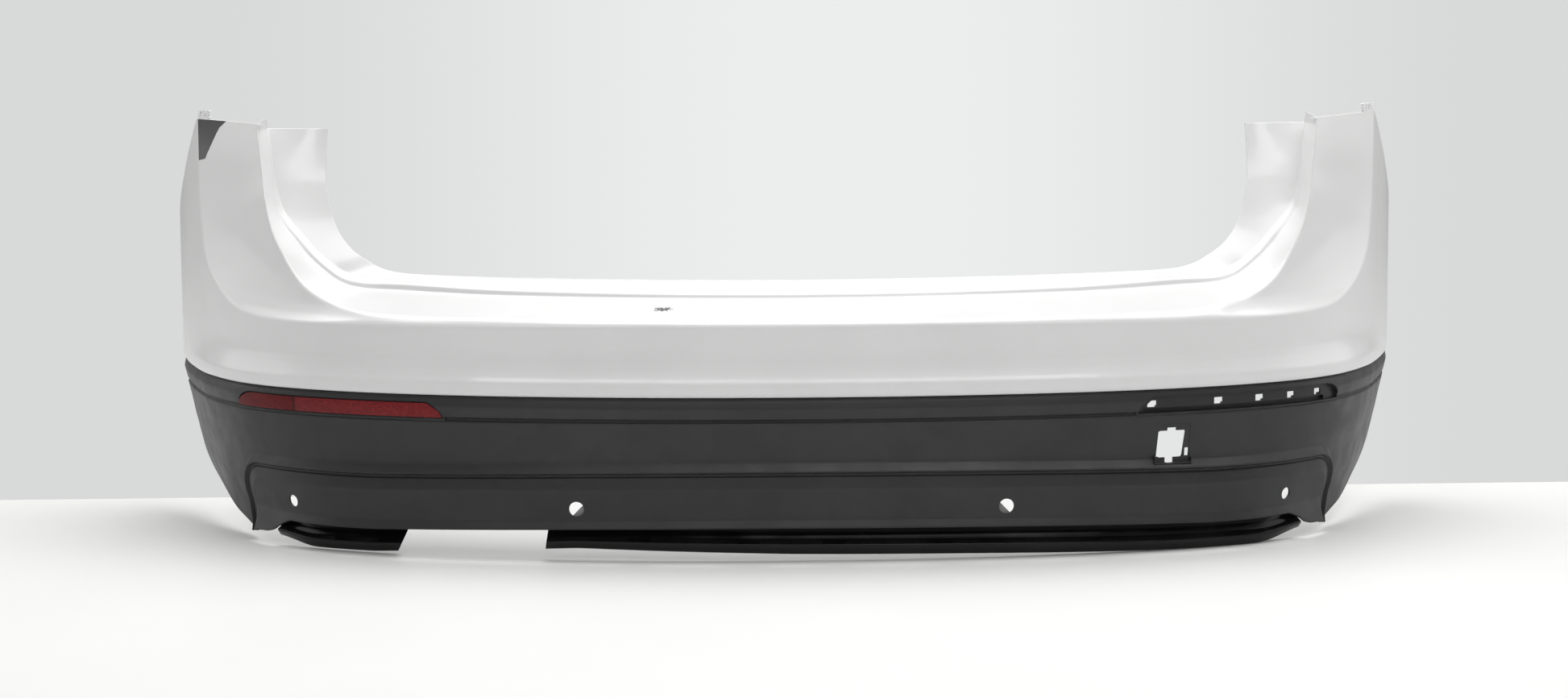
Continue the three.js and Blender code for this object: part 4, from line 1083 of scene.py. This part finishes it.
def lower_trim():
    looks = [GLOSS, GLOSS_INSIDE]
    half = np.concatenate([steps(0, TRIM_BEND, 10), np.linspace(TRIM_BEND, TRIM_END, 18)])
    along = np.concatenate([-half[:0:-1], half])
    low = rounded(TRIM_BOTTOM, along, 12)
    high = TAB_LEVEL - GAP - drop_at(along, TAB_LEVEL)
    tuck = TRIM_TUCK["depth"] * smoothstep(np.abs(along), TRIM_TUCK["start"], TRIM_END)
    lines = [wall(along, low + TRIM_RETURN[0], TRIM_RETURN[1])]
    lines += [wall(along, low + (high - low) * share, inset + tuck) for share, inset in TRIM_ROWS]
    rows, corners = [], []
    for k, (a, b) in enumerate(zip(lines[:-1], lines[1:])):
        if k:
            corners.append(len(rows))
            rows.append(a)
        for share in shares(a, b, TRIM_CUTS[k], TRIM_CUTS[k + 1], 3):
            rows.append(a + (b - a) * share)
    trim = closed_shell("lower_trim_skin", np.stack(rows, 1), corners, TRIM_SKIN, looks, 4)
    places = np.linspace(EXHAUST["outer"], EXHAUST["inner"], 24)
    slants = np.linspace(EXHAUST["outer_slant"], EXHAUST["inner_slant"], 24)
    sections = []
    for s, slant in zip(places, slants):
        foot, head = lower(s - slant, MOUTH_FOOT), lower(s, LIP_LEVEL + MOUTH_HEAD)
        sections.append([foot - MOUTH_REACH, head - MOUTH_REACH, head + MOUTH_REACH, foot + MOUTH_REACH])
    combine(trim, [loft("mouth", sections, looks)], "DIFFERENCE")
    combine(trim, screw_tabs(TAB_LEVEL - GAP - TAB_T, 7, 24, looks), "UNION")
    combine(trim, [screw_hole(s, looks) for s in TRIM_SCREWS], "DIFFERENCE")
    finish_piece(trim, "lower_trim", 40)


# ---- reflector
HOUSING = {"front": 3.6, "bed": 6.4}  # insets of its front edge and of the lens bed
LENS_INSETS = (2.4, 5.9)
HOOK_REACH = 3.7
HOOK_PARTS = (("hook", (9, 6, 9), (0, 0, 0), 0.8), ("barb", (9, 1.4, 2), (0, 3.4, -3.4), 0.4))


def reflector():
    """Housing of the left reflector, with a barbed hook for each clip hole, and its lens."""
    front, back = HOUSING["front"], POCKET["depth"] - GAP
    housing = reflector_block("reflector_housing", -1, -GAP, front, back, [HOLDER], 0, 0.8)
    bed = reflector_block("bed", -1, -RIM, -5, HOUSING["bed"], [HOLDER])
    combine(housing, [bed], "DIFFERENCE")
    for name, size, shift, bevel in HOOK_PARTS:
        parts = []
        for along in POCKET_HOLES:
            place = at_wall(-along, POCKET_HOLE["z"], POCKET["depth"] + HOOK_REACH, shift)
            parts.append(block(name, size, place, [HOLDER], 0, bevel))
        combine(housing, parts, "UNION")
    finish_piece(housing, "reflector_housing_left")
    front, back = LENS_INSETS
    lens = reflector_block("reflector_lens", -1, -RIM - GAP, front, back, [LENS], 0, 1.4)
    finish_piece(lens, "reflector_lens_left", 50)


upper_cover()
lower_cover()
lower_trim()
reflector()

# ---- carried-over small parts
SMALL_LOOKS = {  # material, and rounding of the edges in millimetres, by the start of the name
    "sensor_holder_inner": (GREY_HOLDER, 0.4),
    "sensor_holder_outer": (HOLDER, 0.4),
    "seam_clip": (SPRING_STEEL, 0.25),
    "arch_nut": (SPRING_STEEL, 0.25),
    "trim_screw": (SCREW_STEEL, 0.25),
}
WELD_DISTANCE = 0.00001
BEVEL_ANGLE = math.radians(35)


def dress(obj, material, edge):
    """Material and rounded edges for a part that keeps its own mesh."""
    for material_slot in obj.material_slots:
        material_slot.material = material
    weld = obj.modifiers.new("weld", "WELD")
    weld.merge_threshold = WELD_DISTANCE
    bevel = obj.modifiers.new("bevel", "BEVEL")
    bevel.width = edge / 1000
    bevel.segments = 3
    bevel.limit_method = "ANGLE"
    bevel.angle_limit = BEVEL_ANGLE


for name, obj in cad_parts.items():
    for start, (material, edge) in SMALL_LOOKS.items():
        if name.startswith(start):
            dress(obj, material, edge)

# ---- camera, nearly square to the back
FOCAL_LENGTH, SENSOR_WIDTH = 84.09, 36
AZIMUTH, ELEVATION, ROLL = math.radians(-0.654), math.radians(7), math.radians(0.324)
CAMERA_DISTANCE = 5.0
AIM = (-0.0096, 0.298)  # sideways and up, from the middle of the seam
camera_data = bpy.data.cameras.new("camera")
camera_data.lens = FOCAL_LENGTH
camera_data.sensor_width = SENSOR_WIDTH
camera_data.clip_end = 60
camera = add("camera", camera_data)
camera.matrix_world = (
    Matrix.Translation((AIM[0], SHIFT[1], AIM[1] + SHIFT[2]))
    @ Matrix.Rotation(AZIMUTH, 4, "Z")
    @ Matrix.Rotation(math.pi / 2 - ELEVATION, 4, "X")
    @ Matrix.Rotation(-ROLL, 4, "Z")
    @ Matrix.Translation((0, 0, CAMERA_DISTANCE))
)
bpy.context.scene.camera = camera

# ---- floor, backdrop and light
floor_level = cad_low.z
FLOOR_SIZE = (40, 40)
WALL_SIZE = (4, 3)
WALL_BEHIND = 0.06  # backdrop behind the wheel arches
WALL_YAW = math.radians(1.5)
SQUARE_ON = (0.94, 0.945)  # the backdrop fades out for a camera that looks at it less squarely


def panel(name, size, matrix, material):
    mesh = bpy.data.meshes.new(name)
    mesh.from_pydata([(x, y, 0) for x, y in rectangle(*size)], [], [(0, 1, 2, 3)])
    mesh.materials.append(material)
    obj = add(name, mesh)
    obj.matrix_world = matrix


def floor_look():
    """White paper that throws back a little less light than the camera sees."""
    look = Look("pale_floor")
    path = look.node("ShaderNodeLightPath").outputs["Is Camera Ray"]
    paper = look.mix(look.noise(3, 4), (0.86, 0.86, 0.85, 1), (0.9, 0.9, 0.89, 1))
    look.set(Base_Color=look.mix(path, grey(0.8), paper))
    look.set(Roughness=0.45, Specular_IOR_Level=0.3)
    return look.material


def backdrop_look():
    """Pale glowing wall that shows only to a camera that faces it squarely; its glow carries painted light,
    brighter towards its middle and a little towards its foot.
    """
    look = Look("pale_wall")
    glow = look.node("ShaderNodeEmission")
    clear = look.node("ShaderNodeBsdfTransparent")
    geometry = look.node("ShaderNodeNewGeometry")
    facing = look.node("ShaderNodeVectorMath", operation="DOT_PRODUCT")
    look.put(facing.inputs[0], geometry.outputs["Incoming"])
    look.put(facing.inputs[1], geometry.outputs["Normal"])
    square = look.fit(facing.outputs["Value"], *SQUARE_ON)
    path = look.node("ShaderNodeLightPath")
    share = look.times(square, path.outputs["Is Camera Ray"])
    share = look.times(share, look.minus(1.0, geometry.outputs["Backfacing"]))
    x, y = look.split()[:2]
    # Painted light: the glow is brighter in a pool towards the wall's middle, and a little brighter towards
    # its foot.
    centre = look.fit(look.math("ABSOLUTE", look.minus(x, 0.1)), 0.1, 1.0, 1, 0)
    painted_glow = look.mix(centre, (0.66, 0.668, 0.665, 1), (0.83, 0.84, 0.838, 1))
    painted_glow = look.mix(look.fit(y, -0.7, 0.1, 0.12, 0.0), painted_glow, (0.9, 0.9, 0.9, 1))
    look.put(glow.inputs["Color"], painted_glow)
    mixed = look.node("ShaderNodeMixShader")
    for socket, value in zip(mixed.inputs, (share, clear.outputs[0], glow.outputs[0])):
        look.put(socket, value)
    look.put(look.tree.nodes["Material Output"].inputs["Surface"], mixed.outputs[0])
    return look.material


panel("floor", FLOOR_SIZE, Matrix.Translation((0, 0, floor_level)), floor_look())
wall_place = Matrix.Translation((0, cad_high.y + WALL_BEHIND, floor_level + WALL_SIZE[1] / 2))
facing_camera = Matrix.Rotation(WALL_YAW, 4, "Z") @ Matrix.Rotation(math.pi / 2, 4, "X")
panel("backdrop", WALL_SIZE, wall_place @ facing_camera, backdrop_look())


def area_light(name, place, aim, size, power):
    data = bpy.data.lights.new(name, "AREA")
    data.shape = "RECTANGLE"
    data.size, data.size_y = size
    data.energy = power
    obj = add(name, data)
    obj.location = place
    obj.rotation_euler = (Vector(aim) - Vector(place)).to_track_quat("-Z", "Y").to_euler()


# Lights: name, place, aim, size, power.
LIGHTS = (
    ("overhead", (0.2, 0.3, 3.0), (0.1, 0.2, 0.2), (4.5, 3.0), 112),
    ("front", (0, -3.2, 2.15), (0, -0.2, 0.3), (4.4, 0.4), 26),
    *(("side", (side * 3.6, 0.4, 1.5), (0, 0.1, 0.3), (3.0, 2.4), 19) for side in (-1, 1)),
)
for light in LIGHTS:
    area_light(*light)
# How strongly the surroundings shine towards the camera's side and towards the back.
WORLD = {"From Min": -0.8, "From Max": 0.4, "To Min": 0.16, "To Max": 0.46}


def studio_world():
    """Soft surroundings, dimmer on the camera's side."""
    world = bpy.data.worlds.new("studio")
    world.use_nodes = True
    tree = world.node_tree
    place = tree.nodes.new("ShaderNodeTexCoord")
    split = tree.nodes.new("ShaderNodeSeparateXYZ")
    ramp = tree.nodes.new("ShaderNodeMapRange")
    tree.links.new(place.outputs["Generated"], split.inputs["Vector"])
    tree.links.new(split.outputs["Y"], ramp.inputs["Value"])
    for name, value in WORLD.items():
        ramp.inputs[name].default_value = value
    surroundings = tree.nodes["Background"]
    surroundings.inputs["Color"].default_value = (1.0, 1.0, 0.99, 1)
    tree.links.new(ramp.outputs["Result"], surroundings.inputs["Strength"])
    return world


bpy.context.scene.world = studio_world()
bpy.context.scene.view_settings.view_transform = "Standard"
